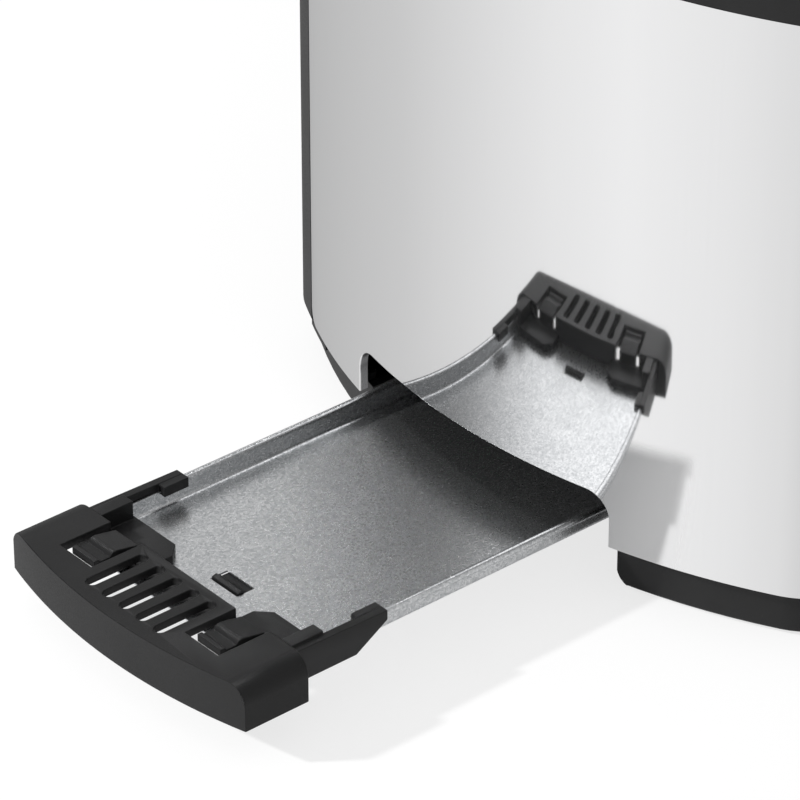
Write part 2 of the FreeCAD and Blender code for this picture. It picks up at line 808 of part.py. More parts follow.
def make_pan():
    """Crumb tray pan of coated sheet: floor, side walls and rolled rims, with an upturned end."""
    wall_in = pan_half
    wall_out = pan_half + pan_sheet
    bead_y = pan_half + pan_bead
    top = pan_wall_top
    profile = [
        (-wall_out, pan_low), (wall_out, pan_low), (wall_out, top), (wall_in, top),
        (wall_in, pan_inner), (-wall_in, pan_inner), (-wall_in, top), (-wall_out, top),
    ]
    sheet_body = polygon(profile, "x", pan_back, pan_front)
    round_edges(
        sheet_body,
        pan_rounding,
        lambda edge: runs_along(edge, 0) and lies_at(edge, 2, pan_low),
    )
    end_wall = box((pan_back, -wall_out, pan_low), (pan_back + pan_sheet, wall_out, top))
    bead_length = tray_zero - arm_reach - guide_gap - pan_back
    beads = [rod((pan_back, y, top), pan_bead, bead_length, "x") for y in (bead_y, -bead_y)]
    middle = tray_zero - window_place - window_length / 2
    window = rounded_slab(
        (middle - window_length / 2, -window_width / 2, pan_low - cutter_margin),
        (middle + window_length / 2, window_width / 2, pan_inner + cutter_margin),
        pan_sheet,
    )
    front_cut = []
    cut_start = tray_zero - handle_depth
    for side in (1, -1):
        low, high = sorted((pan_nose * side, (wall_out + pan_bead) * side))
        front_cut.append(box((cut_start, low, ZERO), (pan_front + cutter_margin, high, rim_top)))
    whole = fused([sheet_body, end_wall] + beads)
    return node(cut(whole, [window] + front_cut, "crumb_tray_pan"), "crumb_tray_pan")


def handle_prism(low, high, inset):
    """The handle's plan form: bowed front, straight ends, set in by inset."""
    half = handle_width / 2 - inset
    back = tray_zero - handle_depth
    bow = tray_zero + handle_bow - inset
    slab = box((back, -half, low), (bow, half, high))
    disc = rod((bow - (handle_radius - inset), ZERO, low), handle_radius - inset, high - low)
    return shared([slab, disc])


def make_handle():
    """Black moulded tray handle: bowed front, vented tongue, snap clips, flaps and arms."""
    half = handle_width / 2
    back = tray_zero - handle_depth
    front = tray_zero + handle_bow
    end_low = handle_low - cutter_margin
    end_form = rounded_slab((back, -half, end_low), (front, half, handle_top), handle_rounding, 0)
    disc = rod((front - handle_radius, ZERO, handle_low), handle_radius, handle_height)
    solid = shared([end_form, disc])
    roof = handle_top - handle_wall
    under_all = handle_low - cutter_margin
    back_wall = box((back - cutter_margin, -half, under_all), (back + handle_wall, half, handle_top))
    hollow = cut(handle_prism(under_all, roof, handle_wall), [back_wall])
    tongue = tongue_width / 2
    gap_out = tongue + clip_gap_width
    openings = []
    for side in (1, -1):
        low, high = sorted((tongue * side, gap_out * side))
        corner = (tray_zero, high, handle_top + cutter_margin)
        openings.append(box((back - cutter_margin, low, under_all), corner))
    vents = []
    middle = (vent_count - 1) / 2
    for index in range(vent_count):
        y = vent_pitch * (index - middle)
        vents.append(
            rounded_slab(
                (tray_zero - vent_back, y - vent_width / 2, handle_low),
                (tray_zero + vent_front, y + vent_width / 2, handle_top + cutter_margin),
                vent_rounding,
            )
        )
    pan_slot = pan_nose + runner_gap
    pan_space = box(
        (back - cutter_margin, -pan_slot, pan_low - runner_gap),
        (pan_front + guide_gap, pan_slot, pan_inner + runner_gap),
    )
    strip_low = pan_low - runner_gap - strip_thickness
    strip_top = strip_low + strip_thickness
    clear_end = (back + handle_wall, pan_slot, strip_low)
    clear_under = box((back - cutter_margin, -pan_slot, under_all), clear_end)
    shell = cut(solid, [hollow, pan_space, clear_under] + openings + vents)
    pieces = [shell]
    for side in (1, -1):
        pieces += handle_side(side)
    catch_front = tray_zero - window_place - catch_gap
    catch_back = catch_front - catch_length
    catch_half = window_width / 2 - catch_gap
    foot_half = strip_foot_width / 2
    strip_end = tray_zero - window_place - window_length
    strip = box((strip_end, -catch_half, strip_low), (back, catch_half, strip_top))
    foot = box((back - strip_foot, -foot_half, strip_low), (back + handle_wall, foot_half, strip_top))
    bar_half = pan_slot + handle_wall
    bar = box((back, -bar_half, strip_low), (back + handle_wall, bar_half, strip_top))
    catch = [
        (catch_front, strip_low),
        (catch_front, pan_inner + catch_rise / 2),
        (catch_front - catch_length / 2, pan_inner + catch_rise),
        (catch_back, pan_inner),
        (catch_back, strip_low),
    ]
    nose = polygon(catch, "y", -catch_half, catch_half)
    return node(fused(pieces + [strip, foot, bar, nose], "crumb_tray_handle"), "crumb_tray_handle")


def handle_side(side):
    """What one side of the handle carries: snap clip, flap, arm, shoulder and a hook over the wall."""
    back = tray_zero - handle_depth
    back_inner = back + handle_wall
    arm_end = tray_zero - arm_reach
    tongue = tongue_width / 2
    flap_low = pan_inner + runner_gap
    flap_top = flap_low + flap_thickness
    flap_edge = tray_zero - flap_reach

    def span(near, far):
        return sorted((near * side, far * side))

    clip_in, clip_out = span(tongue + clip_margin, tongue + clip_gap_width - clip_margin)
    clip_x = tray_zero - clip_front
    ridge_end = clip_x - clip_ridge
    riser = tray_zero - clip_riser
    ledge = handle_top - clip_ledge
    crest = handle_top - clip_crest_sink
    clip = [
        (clip_x, ledge - clip_thickness),
        (clip_x, handle_top - clip_sink),
        (ridge_end, handle_top - clip_sink),
        (ridge_end - clip_sink, ledge),
        (riser, ledge),
        (riser - clip_bevel, handle_top - clip_crest_sink - clip_bevel / 4),
        (tray_zero - clip_crest, crest),
        (back, handle_top - clip_fall),
        (back, flap_low),
        (back_inner, flap_low),
        (back_inner, ledge - clip_thickness),
    ]
    snap = polygon(clip, "y", clip_in, clip_out)
    flap = [
        (flap_edge, pan_nose * side),
        (flap_edge, (flap_inner + flap_chamfer) * side),
        (flap_edge + flap_chamfer, flap_inner * side),
        (back_inner, flap_inner * side),
        (back_inner, pan_nose * side),
    ]
    plate = polygon(flap, "z", flap_low, flap_top)
    low_y, high_y = span(arm_inner, arm_inner + arm_thickness)
    arm_low = handle_low + arm_bottom
    root_top = handle_top - arm_sink
    end_top = root_top - arm_fall
    arm = [
        (back_inner, arm_low),
        (back_inner, root_top),
        (arm_end, end_top),
        (arm_end, arm_low + arm_slant_height),
        (arm_end + arm_slant_length, arm_low),
    ]
    blade = polygon(arm, "y", low_y, high_y)
    slot_low, slot_high = span(pan_half - runner_gap, arm_inner)
    over_wall = box(
        (arm_end - cutter_margin, slot_low, flap_low),
        (back + cutter_margin, slot_high, pan_wall_top + runner_gap),
    )
    hook_in, hook_out = span(pan_half - hook_width + pan_sheet, arm_inner + arm_thickness / 2)
    hook = box((arm_end, hook_in, end_top - hook_height), (arm_end + hook_length, hook_out, end_top))
    shoulder_in, shoulder_out = span(pan_half - shoulder_width + pan_sheet, arm_inner + arm_thickness / 6)
    shoulder_end = (back, shoulder_out, handle_top - shoulder_sink)
    shoulder = box((tray_zero - shoulder_reach, shoulder_in, flap_low), shoulder_end)
    return [snap, cut(plate, [over_wall]), blade, cut(hook, [over_wall]), cut(shoulder, [over_wall])]


def well_faces():
    """The two faces of each bread well, as its middle and the side that the face is on."""
    return [(-well_place, -1), (-well_place, 1), (well_place, -1), (well_place, 1)]


NAMES = ["front_outer", "front_inner", "back_inner", "back_outer"]


def make_end_plate(side, label):
    """Sheet steel end plate on two feet, with bearings for the bread guides."""
    inner, outer = sorted((well_end * side, plate_out * side))
    plate = box((inner, -chassis_side, floor_top), (outer, chassis_side, plate_top))
    foot_in, foot_out = sorted((well_end * side, (plate_out + foot_flange) * side))
    feet = []
    for y in (chassis_side - leg_width, -chassis_side):
        feet.append(box((foot_in, y, floor_top), (foot_out, y + leg_width, floor_top + chassis_sheet)))
    before = inner - cutter_margin
    beyond = outer + cutter_margin
    gate = tray_gate + guide_gap
    tools = [box((before, -gate, ZERO), (beyond, gate, tray_clear))]
    for y, face in well_faces():
        bearing = (before, y + guide_offset * face, guide_hinge_height)
        tools.append(rod(bearing, wire_radius + hinge_play, beyond - before, "x"))
    tools += screw_holes()
    if side < 0:
        half = rack_blade / 2 + slot_play
        low = rack_top - rack_plate - rack_blade_height - carriage_travel - travel_room
        high = rack_top - rack_plate + travel_room
        for y in (well_place, -well_place):
            tools.append(box((before, y - half, low), (beyond, y + half, high)))
    return node(cut(fused([plate] + feet), tools, label), label)


def make_top_plate():
    """Sheet steel plate over the wells, reaching out over the carriage rods."""
    low = -plate_out - rod_overhang
    plate = box((low, -chassis_side, plate_top), (plate_out, chassis_side, plate_top + chassis_sheet))
    tools = []
    for y in (well_place, -well_place):
        tools.append(slot_tool(y, plate_top - cutter_margin, plate_top + cutter_margin, ZERO))
    for y in (rod_place_y, -rod_place_y):
        tools.append(rod((-rod_place_x, y, plate_top - cutter_margin), rod_radius, 2 * cutter_margin))
    return node(cut(plate, tools, "chassis_top_plate"), "chassis_top_plate")


def make_side_panel(side, label):
    """Bright reflector panel along one side of the wells."""
    low, high = sorted(((chassis_side - chassis_sheet) * side, chassis_side * side))
    panel = box((-well_end, low, tray_clear), (well_end, high, plate_top))
    return node(panel, label)


def make_heater(index):
    """One mica board and its ribbon winding, facing into a well."""
    y, face = well_faces()[index]
    place_y = y + board_offset * face
    low, high = sorted((place_y, place_y + board_thickness * face))
    board = box((-well_end, low, board_bottom), (well_end, high, board_top))
    node(board, f"heater_board_{NAMES[index]}")
    near, far = sorted((place_y, place_y - ribbon_thickness * face))
    pitch = (board_top - board_bottom - 2 * ribbon_margin) / (ribbon_count - 1)
    half = ribbon_width / 2
    reach = well_end - ribbon_margin
    strips = []
    for number in range(ribbon_count):
        z = board_bottom + ribbon_margin + pitch * number
        strips.append(box((-reach, near, z - half), (reach, far, z + half)))
        if number + 1 < ribbon_count:
            start = reach - ribbon_width if number % 2 == 0 else -reach
            strips.append(box((start, near, z), (start + ribbon_width, far, z + pitch)))
    node(fused(strips, f"heater_ribbon_{NAMES[index]}"), f"heater_ribbon_{NAMES[index]}")


def make_bread_guide(index):
    """Wire guide that swings inwards on its lower wire to hold the bread upright."""
    y, face = well_faces()[index]
    place_y = y + guide_offset * face
    reach = plate_out + chassis_sheet
    wires = [rod((-reach, place_y, guide_hinge_height), wire_radius, 2 * reach, "x")]
    span = guide_wire_pitch * (guide_wire_count - 1)
    wires.append(rod((-span / 2, place_y, guide_top), wire_radius, span, "x"))
    for number in range(guide_wire_count):
        x = guide_wire_pitch * number - span / 2
        wires.append(rod((x, place_y, guide_hinge_height), wire_radius, guide_top - guide_hinge_height))
    label = f"bread_guide_{NAMES[index]}"
    node(fused(wires, label), label)


def make_rack(y, label):
    """Bread rack: a toothed strip on a blade that passes through the end plate to the carriage."""
    half = rack_width / 2
    reach = well_end - rack_end_gap
    seat = rack_top - rack_plate
    strip = box((-reach, y - half, seat), (reach, y + half, rack_top))
    blade_end = -rod_place_x + block_length / 2 + cross_plate_sheet
    thin = rack_blade / 2
    blade = box((blade_end, y - thin, seat - rack_blade_height), (reach, y + thin, seat))
    gaps = []
    for number in range(rack_tooth_count):
        x = rack_tooth_pitch * (number - (rack_tooth_count - 1) / 2)
        for low, high in ((y - half, y - rack_blade), (y + rack_blade, y + half)):
            corner = (x + rack_tooth / 2, high, rack_top + rack_plate)
            gaps.append(box((x - rack_tooth / 2, low, seat - rack_plate), corner))
    return node(fused([cut(strip, gaps), blade], label), label)


def make_carriage():
    """Carriage block on two rods, with the cross plate that carries both bread racks."""
    half = block_length / 2
    wide = block_width / 2
    block = box((-rod_place_x - half, -wide, block_low), (-rod_place_x + half, wide, block_top))
    bracket = box(
        (-rod_place_x - half / 2, wide - chassis_sheet, block_low),
        (-rod_place_x + half / 2, armature_place + half, block_low + 2 * armature_thickness),
    )
    bores = []
    for y in (rod_place_y, -rod_place_y):
        bore_start = (-rod_place_x, y, block_low - cutter_margin)
        bores.append(rod(bore_start, rod_radius + rod_play, block_height + 2 * cutter_margin))
    node(cut(fused([block, bracket]), bores, "carriage_block"), "carriage_block")
    front = -rod_place_x + half
    low = rack_top - rack_plate - rack_blade_height
    reach = cross_plate_width / 2
    cross = box((front, -reach, low), (front + cross_plate_sheet, reach, rack_top - rack_plate))
    node(cross, "carriage_cross_plate")
    lever = box(
        (-rod_place_x - lever_thickness / 2, -fascia_outer - lever_knob_gap - lever_grip, lever_low),
        (-rod_place_x + lever_thickness / 2, -wide, lever_low + lever_height),
    )
    node(lever, "lever_arm")


def make_lever_knob():
    """Black push-down knob on the end of the lever arm."""
    face = -fascia_outer - lever_knob_gap
    half = lever_knob_width / 2
    body = rounded_slab(
        (-rod_place_x - half, face - lever_knob_depth, lever_mid - lever_knob_height / 2),
        (-rod_place_x + half, face, lever_mid + lever_knob_height / 2),
        lever_knob_rounding,
        1,
    )
    bevel_edges(body, lever_knob_bevel, lambda edge: lies_at(edge, 1, face - lever_knob_depth))
    socket = box(
        (-rod_place_x - lever_thickness / 2, face - lever_grip, lever_low),
        (-rod_place_x + lever_thickness / 2, face + cutter_margin, lever_low + lever_height),
    )
    return node(cut(body, [socket], "lever_knob"), "lever_knob")


def make_guide_rods():
    """Two steel rods that the carriage slides on, held in the base and the top plate."""
    length = plate_top + chassis_sheet - floor_low
    rods = [rod((-rod_place_x, y, floor_low), rod_radius, length) for y in (rod_place_y, -rod_place_y)]
    return node(gathered(rods, "guide_rods"), "guide_rods")


def make_lift_spring():
    """Spring between the top plate and the carriage, as its outer form."""
    length = plate_top - block_top
    outer = rod((-rod_place_x, ZERO, block_top), spring_radius, length)
    bore_start = (-rod_place_x, ZERO, block_top - cutter_margin)
    inner = rod(bore_start, spring_radius - spring_wire, length + 2 * cutter_margin)
    return node(cut(outer, [inner], "lift_spring"), "lift_spring")


def make_latch():
    """Armature under the carriage and the magnet that holds it down."""
    half = armature_length / 2
    wide = armature_width / 2
    armature = box(
        (-rod_place_x - half, armature_place - wide, armature_low),
        (-rod_place_x + half, armature_place + wide, block_low),
    )
    node(armature, "latch_armature")
    low = (-rod_place_x - half, armature_place - wide, floor_top)
    yoke = box(low, (-rod_place_x + half, armature_place + wide, floor_top + chassis_sheet * 2))
    core = rod((-rod_place_x, armature_place, floor_top), magnet_core, magnet_top - floor_top)
    legs = []
    for x in (-rod_place_x - half, -rod_place_x + half - chassis_sheet):
        corner = (x + chassis_sheet, armature_place + wide, magnet_top)
        legs.append(box((x, armature_place - wide, floor_top), corner))
    coil_low = floor_top + chassis_sheet * 2
    coil_top = magnet_top - chassis_sheet
    coil = rod((-rod_place_x, armature_place, coil_low), half - 2 * chassis_sheet, coil_top - coil_low)
    hole = rod((-rod_place_x, armature_place, ZERO), magnet_core, magnet_top + cutter_margin)
    node(fused([yoke, core] + legs, "latch_magnet"), "latch_magnet")
    node(cut(coil, [hole], "latch_coil"), "latch_coil")


def make_power_switch():
    """Main switch block under the carriage, on the base floor."""
    half = switch_length / 2
    wide = switch_width / 2
    housing = box(
        (-rod_place_x - half, -switch_place - wide, floor_top),
        (-rod_place_x + half, -switch_place + wide, floor_top + switch_height),
    )
    return node(housing, "power_switch")


def make_control_board():
    """Control board on the fascia's bosses, with its screws."""
    back = -board_face + control_board_sheet
    corner = (control_board_right, back, control_board_high)
    board = box((-control_board_left, -board_face, control_board_low), corner)
    holes = []
    screws = []
    for x, z in board_boss_places():
        hole_start = (x, -board_face - cutter_margin, z)
        holes.append(rod(hole_start, screw_radius + screw_play, 2 * cutter_margin, "y"))
        shank = rod((x, back + screw_head_height - screw_length, z), screw_radius, screw_length, "y")
        head = rod((x, back, z), screw_head_radius, screw_head_height, "y")
        screws.append(fused([shank, head]))
    node(cut(board, holes, "control_board"), "control_board")
    node(gathered(screws, "board_screws"), "board_screws")


def make_browning_control():
    """Browning control: potentiometer on the board, its shaft and the knob."""
    pot_face = -board_face - pot_height
    body = rod((knob_place_x, pot_face, knob_place_z), pot_radius, pot_height, "y")
    bore_start = (knob_place_x, pot_face - cutter_margin, knob_place_z)
    bore = rod(bore_start, shaft_radius + shaft_play, cutter_margin + pot_height / 2, "y")
    node(cut(body, [bore], "potentiometer"), "potentiometer")
    knob_back = -fascia_outer - knob_gap
    shaft_start = knob_back - knob_socket_depth
    shaft_end = pot_face + pot_height / 2
    shaft = rod((knob_place_x, shaft_start, knob_place_z), shaft_radius, shaft_end - shaft_start, "y")
    node(shaft, "knob_shaft")
    disc = doc.addObject("PartDesign::Body", "disc")
    sketch = new_sketch(disc, "y", knob_back - knob_depth, knob_back)
    middle = FreeCAD.Vector(knob_place_x.value, knob_place_z.value, 0)
    sketch.addGeometry(Part.Circle(middle, FreeCAD.Vector(0, 0, 1), knob_radius.value))
    constrain(sketch, Sketcher.Constraint("DistanceX", -1, 1, 0, 3, knob_place_x.value), knob_place_x)
    constrain(sketch, Sketcher.Constraint("DistanceY", -1, 1, 0, 3, knob_place_z.value), knob_place_z)
    constrain(sketch, Sketcher.Constraint("Radius", 0, knob_radius.value), knob_radius)
    pad(disc, sketch, knob_depth)
    front = knob_back - knob_depth
    bevel_edges(disc, knob_bevel, lambda edge: lies_at(edge, 1, front))
    socket_length = knob_socket_depth + cutter_margin
    socket = rod((knob_place_x, shaft_start, knob_place_z), shaft_radius, socket_length, "y")
    pointer = box(
        (knob_place_x - pointer_width / 2, front - cutter_margin, knob_place_z + pointer_start),
        (knob_place_x + pointer_width / 2, front + pointer_depth, knob_place_z + pointer_end),
    )
    node(cut(disc, [socket, pointer], "browning_knob"), "browning_knob")


def make_buttons():
    """Three push buttons with flanges behind the fascia, and a switch behind each."""
    switches = []
    for index, x in enumerate(button_places()):
        flange_back = -fascia_inner + button_travel + button_flange_thickness
        face = -fascia_outer - button_proud
        cap = rod((x, face, button_place_z), button_radius, flange_back - face, "y")
        flange_start = (x, flange_back - button_flange_thickness, button_place_z)
        flange = rod(flange_start, button_radius + button_flange, button_flange_thickness, "y")
        switch_face = -board_face - button_switch_height
        stem_end = switch_face - button_travel - button_gap
        stem = rod((x, flange_back, button_place_z), button_stem_radius, stem_end - flange_back, "y")
        node(fused([cap, flange, stem], f"button_{index + 1}"), f"button_{index + 1}")
        half = button_switch_side / 2
        low = (x - half, switch_face, button_place_z - half)
        high = (x + half, -board_face, button_place_z + half)
        switches.append(box(low, high))
    return node(gathered(switches, "button_switches"), "button_switches")


def make_cord_outlet():
    """Moulded outlet for the supply cord in the back of the skirt, and the terminal block."""
    wall = skirt_inset + plastic_wall
    face = side_y - skirt_inset
    inner = side_y - wall - outlet_inside
    tube = rod((outlet_place_x, inner, outlet_z), outlet_radius, face - inner, "y")
    flange_radius = outlet_radius + outlet_flange
    flange = rod((outlet_place_x, face, outlet_z), flange_radius, outlet_flange_thickness, "y")
    bore = rod((outlet_place_x, inner - cutter_margin, outlet_z), outlet_bore, 4 * cutter_margin, "y")
    node(cut(fused([tube, flange]), [bore], "cord_outlet"), "cord_outlet")
    middle = (chassis_side + side_y - wall) / 2
    low = (outlet_place_x + cutter_margin, middle - terminal_width / 2, floor_top)
    end = outlet_place_x + cutter_margin + terminal_length
    high = (end, middle + terminal_width / 2, floor_top + terminal_height)
    node(box(low, high), "terminal_block")


make_base()
make_rubber_feet()
make_base_screws()
make_outer_sleeve()
make_front_fascia()
make_top_cover()
make_pan()
make_handle()
make_end_plate(1, "end_plate_tray_side")
make_end_plate(-1, "end_plate_lever_side")
make_top_plate()
make_side_panel(-1, "side_panel_front")
make_side_panel(1, "side_panel_back")
for place_index in range(4):
    make_heater(place_index)
    make_bread_guide(place_index)
make_rack(-well_place, "bread_rack_front")
make_rack(well_place, "bread_rack_back")
make_carriage()
make_lever_knob()
make_guide_rods()
make_lift_spring()
make_latch()
make_power_switch()
make_control_board()
make_browning_control()
make_buttons()
make_cord_outlet()

doc.recompute()

# Every object must have built, and every sub-part must be a sound shape, before any is written
failed = [item.Label for item in doc.Objects if "Invalid" in item.State or "Error" in item.State]
if failed:
    raise RuntimeError(f"these objects failed: {failed}")
for part in nodes:
    if part.Shape.isNull() or not part.Shape.isValid():
        raise RuntimeError(f"{part.Label} has no sound shape")
for part in nodes:
    part.Shape.exportStep(f"parts/{part.Label}.step")
    print(part.Label, len(part.Shape.Solids), round(part.Shape.Volume, 1))
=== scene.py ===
# %% [markdown]
# A two-slice toaster with its crumb tray drawn out of one end.
# The construction comes packed as a fixed frame, in metres, with +X towards the tray, -Y towards
# the controls and +Z up. This notebook dresses that frame: every finish is made of shader nodes,
# and the pieces that need a fuller form are modelled here and ride on the frame's bodies.

# %% Load the frame
import json
import math
from functools import partial

import bmesh
import bpy
from mathutils import Matrix, Vector
from mathutils.bvhtree import BVHTree


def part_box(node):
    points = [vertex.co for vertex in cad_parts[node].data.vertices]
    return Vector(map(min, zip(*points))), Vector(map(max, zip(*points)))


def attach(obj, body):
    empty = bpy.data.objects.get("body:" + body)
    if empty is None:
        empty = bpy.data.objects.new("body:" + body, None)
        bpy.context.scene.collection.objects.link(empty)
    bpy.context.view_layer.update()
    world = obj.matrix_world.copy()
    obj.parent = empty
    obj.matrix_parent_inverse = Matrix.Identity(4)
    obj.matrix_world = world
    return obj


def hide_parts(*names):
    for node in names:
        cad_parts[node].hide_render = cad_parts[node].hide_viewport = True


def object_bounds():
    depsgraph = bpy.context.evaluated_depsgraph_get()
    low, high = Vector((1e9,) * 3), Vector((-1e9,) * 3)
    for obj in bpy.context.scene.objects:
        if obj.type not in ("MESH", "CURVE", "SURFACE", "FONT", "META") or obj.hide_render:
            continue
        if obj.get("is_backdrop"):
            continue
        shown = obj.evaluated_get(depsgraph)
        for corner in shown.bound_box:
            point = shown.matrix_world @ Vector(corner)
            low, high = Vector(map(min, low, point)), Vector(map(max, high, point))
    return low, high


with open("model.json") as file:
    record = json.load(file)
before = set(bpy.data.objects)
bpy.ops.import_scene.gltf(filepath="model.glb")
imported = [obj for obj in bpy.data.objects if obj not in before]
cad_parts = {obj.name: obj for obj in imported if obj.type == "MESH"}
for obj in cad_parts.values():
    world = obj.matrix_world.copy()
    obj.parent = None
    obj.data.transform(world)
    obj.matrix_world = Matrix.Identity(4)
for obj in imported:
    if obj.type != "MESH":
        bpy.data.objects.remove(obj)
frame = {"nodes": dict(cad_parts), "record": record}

MM = 0.001
NODES = frame["nodes"]
BODY_OF = {}
for body_name, members in frame["record"]["behaviour"]["bodies"].items():
    for member in members:
        BODY_OF[member] = body_name
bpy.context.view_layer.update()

# %% [markdown]
# Three small jobs come up again and again: putting an object in the scene, taking its finished shape
# off as a plain mesh, and pointing a camera or a lamp. Each gets a helper, so that the cells below
# say only what is special about their piece.

# %% Helpers for the scene
def put(name, data):
    """A new object in the scene."""
    item = bpy.data.objects.new(name, data)
    bpy.context.scene.collection.objects.link(item)
    return item


def taken(item):
    """The object's shape after its modifiers, as a plain mesh. The object goes."""
    view = bpy.context.evaluated_depsgraph_get()
    mesh = bpy.data.meshes.new_from_object(item.evaluated_get(view))
    bpy.data.objects.remove(item)
    return mesh


def faced(item, place, back):
    """Stand a camera or a lamp at a place, looking away from a direction at its back."""
    item.location = place
    item.rotation_mode = "QUATERNION"
    item.rotation_quaternion = (-back).to_track_quat("-Z", "Y")
    return item


# %% [markdown]
# The camera stands where the photographer stood: far away, with a long lens, about 32 degrees above
# the horizon, looking across the tray at the end of the body. A long lens keeps edges nearly
# parallel, so its place matters more than usual. It was found from the outline of the tray, its
# handle and the notch, and is written here as a place, a direction and a lens.

# %% Camera
CAMERA_PLACE = Vector((854.15, 808.8, 711.68)) * MM
CAMERA_AZIMUTH = math.radians(139.604)
CAMERA_ELEVATION = math.radians(32.1)
SENSOR = 36.0
LENS = 226.01
NEAREST, FARTHEST = 0.05, 20.0


def make_camera():
    """Camera at the photograph's viewing angle."""
    level = math.cos(CAMERA_ELEVATION)
    back = Vector((
        math.sin(CAMERA_AZIMUTH) * level,
        -math.cos(CAMERA_AZIMUTH) * level,
        math.sin(CAMERA_ELEVATION),
    ))
    data = bpy.data.cameras.new("camera")
    data.sensor_width = SENSOR
    data.lens = LENS
    data.clip_start, data.clip_end = NEAREST, FARTHEST
    bpy.context.scene.camera = faced(put("camera", data), CAMERA_PLACE, back)


make_camera()
print("camera at", [round(v, 3) for v in CAMERA_PLACE])

# %% [markdown]
# A finish is a small network of shader nodes. These helpers keep the wiring short: each call adds one
# node and gives back its output, so a finish reads like a recipe. Patterns read Object coordinates,
# which are metres here, so a scale is one over the size of a grain.

# %% Helpers for finishes
def new_node(tree, kind, inputs=None, **settings):
    """Add a node to a tree, set its properties, and feed or set its inputs."""
    node = tree.nodes.new(kind)
    for key, value in settings.items():
        setattr(node, key, value)
    for key, value in (inputs or {}).items():
        if isinstance(value, bpy.types.NodeSocket):
            tree.links.new(value, node.inputs[key])
        else:
            node.inputs[key].default_value = value
    return node


class Finish:
    """A node material while it is being wired."""

    def __init__(self, name, metallic=0.0, roughness=0.5):
        self.name = name
        self.material = bpy.data.materials.new(name)
        self.material.use_nodes = True
        self.tree = self.material.node_tree
        self.add = partial(new_node, self.tree)
        self.shader = self.tree.nodes["Principled BSDF"]
        self.shader.inputs["Metallic"].default_value = metallic
        self.shader.inputs["Roughness"].default_value = roughness
        self.place = self.add("ShaderNodeTexCoord").outputs["Object"]

    def stretched(self, x, y, z):
        """Coordinates scaled along each axis, for grain that runs one way."""
        node = self.add("ShaderNodeMapping", {"Vector": self.place, "Scale": (x, y, z)})
        return node.outputs["Vector"]

    def along(self, axis):
        """One coordinate of the piece, in metres."""
        return self.add("ShaderNodeSeparateXYZ", {"Vector": self.place}).outputs[axis]

    def noise(self, size, detail=2.0, rough=0.5, place=None):
        """Cloudy noise with grains of a size in metres."""
        inputs = {"Vector": place or self.place, "Scale": 1 / size, "Detail": detail, "Roughness": rough}
        return self.add("ShaderNodeTexNoise", inputs).outputs["Fac"]

    def cells(self, size, place=None):
        """Cells of a size in metres, each with a shade of its own."""
        inputs = {"Vector": place or self.place, "Scale": 1 / size}
        colour = self.add("ShaderNodeTexVoronoi", inputs).outputs["Color"]
        return self.add("ShaderNodeSeparateColor", {"Color": colour}).outputs["Red"]

    def edges(self):
        """High on outer edges and corners, half on flat ground, low in hollows."""
        return self.add("ShaderNodeNewGeometry").outputs["Pointiness"]

    def spread(self, value, low, high, to_low=0.0, to_high=1.0):
        """Stretch a value's range low..high to to_low..to_high."""
        inputs = {"Value": value, "From Min": low, "From Max": high, "To Min": to_low, "To Max": to_high}
        return self.add("ShaderNodeMapRange", inputs).outputs["Result"]

    def maths(self, operation, first, second):
        """One sum on two values."""
        return self.add("ShaderNodeMath", {0: first, 1: second}, operation=operation).outputs[0]

    def shares(self, first, part, second, rest):
        """Two patterns added in shares."""
        one = self.maths("MULTIPLY", first, part)
        return self.maths("ADD", one, self.maths("MULTIPLY", second, rest))

    def tint(self, value, dark, light):
        """Colour between two tints by a value."""
        inputs = {0: value, 6: (*dark, 1), 7: (*light, 1)}
        return self.add("ShaderNodeMix", inputs, data_type="RGBA").outputs[2]

    def layer(self, value, below, above):
        """A flat tint over a pattern, where a value is high."""
        inputs = {0: value, 6: below, 7: (*above, 1)}
        return self.add("ShaderNodeMix", inputs, data_type="RGBA").outputs[2]

    def relief(self, height, depth, below=None):
        """Bump of a depth in metres, over another relief if there is one."""
        inputs = {"Height": height, "Distance": depth, "Strength": 1.0}
        if below is not None:
            inputs["Normal"] = below
        return self.add("ShaderNodeBump", inputs).outputs["Normal"]

    def done(self, tone, roughness, normal, constants=None):
        """Feed the shader and keep the finish under its name, which is its slot in the record."""
        for name, value in {"Base Color": tone, "Roughness": roughness, "Normal": normal}.items():
            self.tree.links.new(value, self.shader.inputs[name])
        for name, value in (constants or {}).items():
            self.shader.inputs[name].default_value = value
        FINISHES[self.name] = self.material
        print("finish", self.name, len(self.tree.nodes), "nodes")


FINISHES = {}

# %% [markdown]
# The sleeve is stainless sheet, polished like a mirror. A perfect mirror looks computed, so the real
# one's traces go into roughness and relief: a faint haze of wiping and hairlines that run up the
# sheet. The picture in such a mirror shows how the sheet stands: the tray's image sits lower and wider
# than an upright round wall gives. So the sheet leans back, bellies up its height and is flatter
# across, by less than its outline shows. That is relief too: a height that falls with z and grows
# outwards from the notch.

# %% Polished steel
SHEET_LEAN = 0.0232
BELLY_UP = 0.249
FLAT_ACROSS = 0.246
NOTCH_TOP = 28.7 * MM


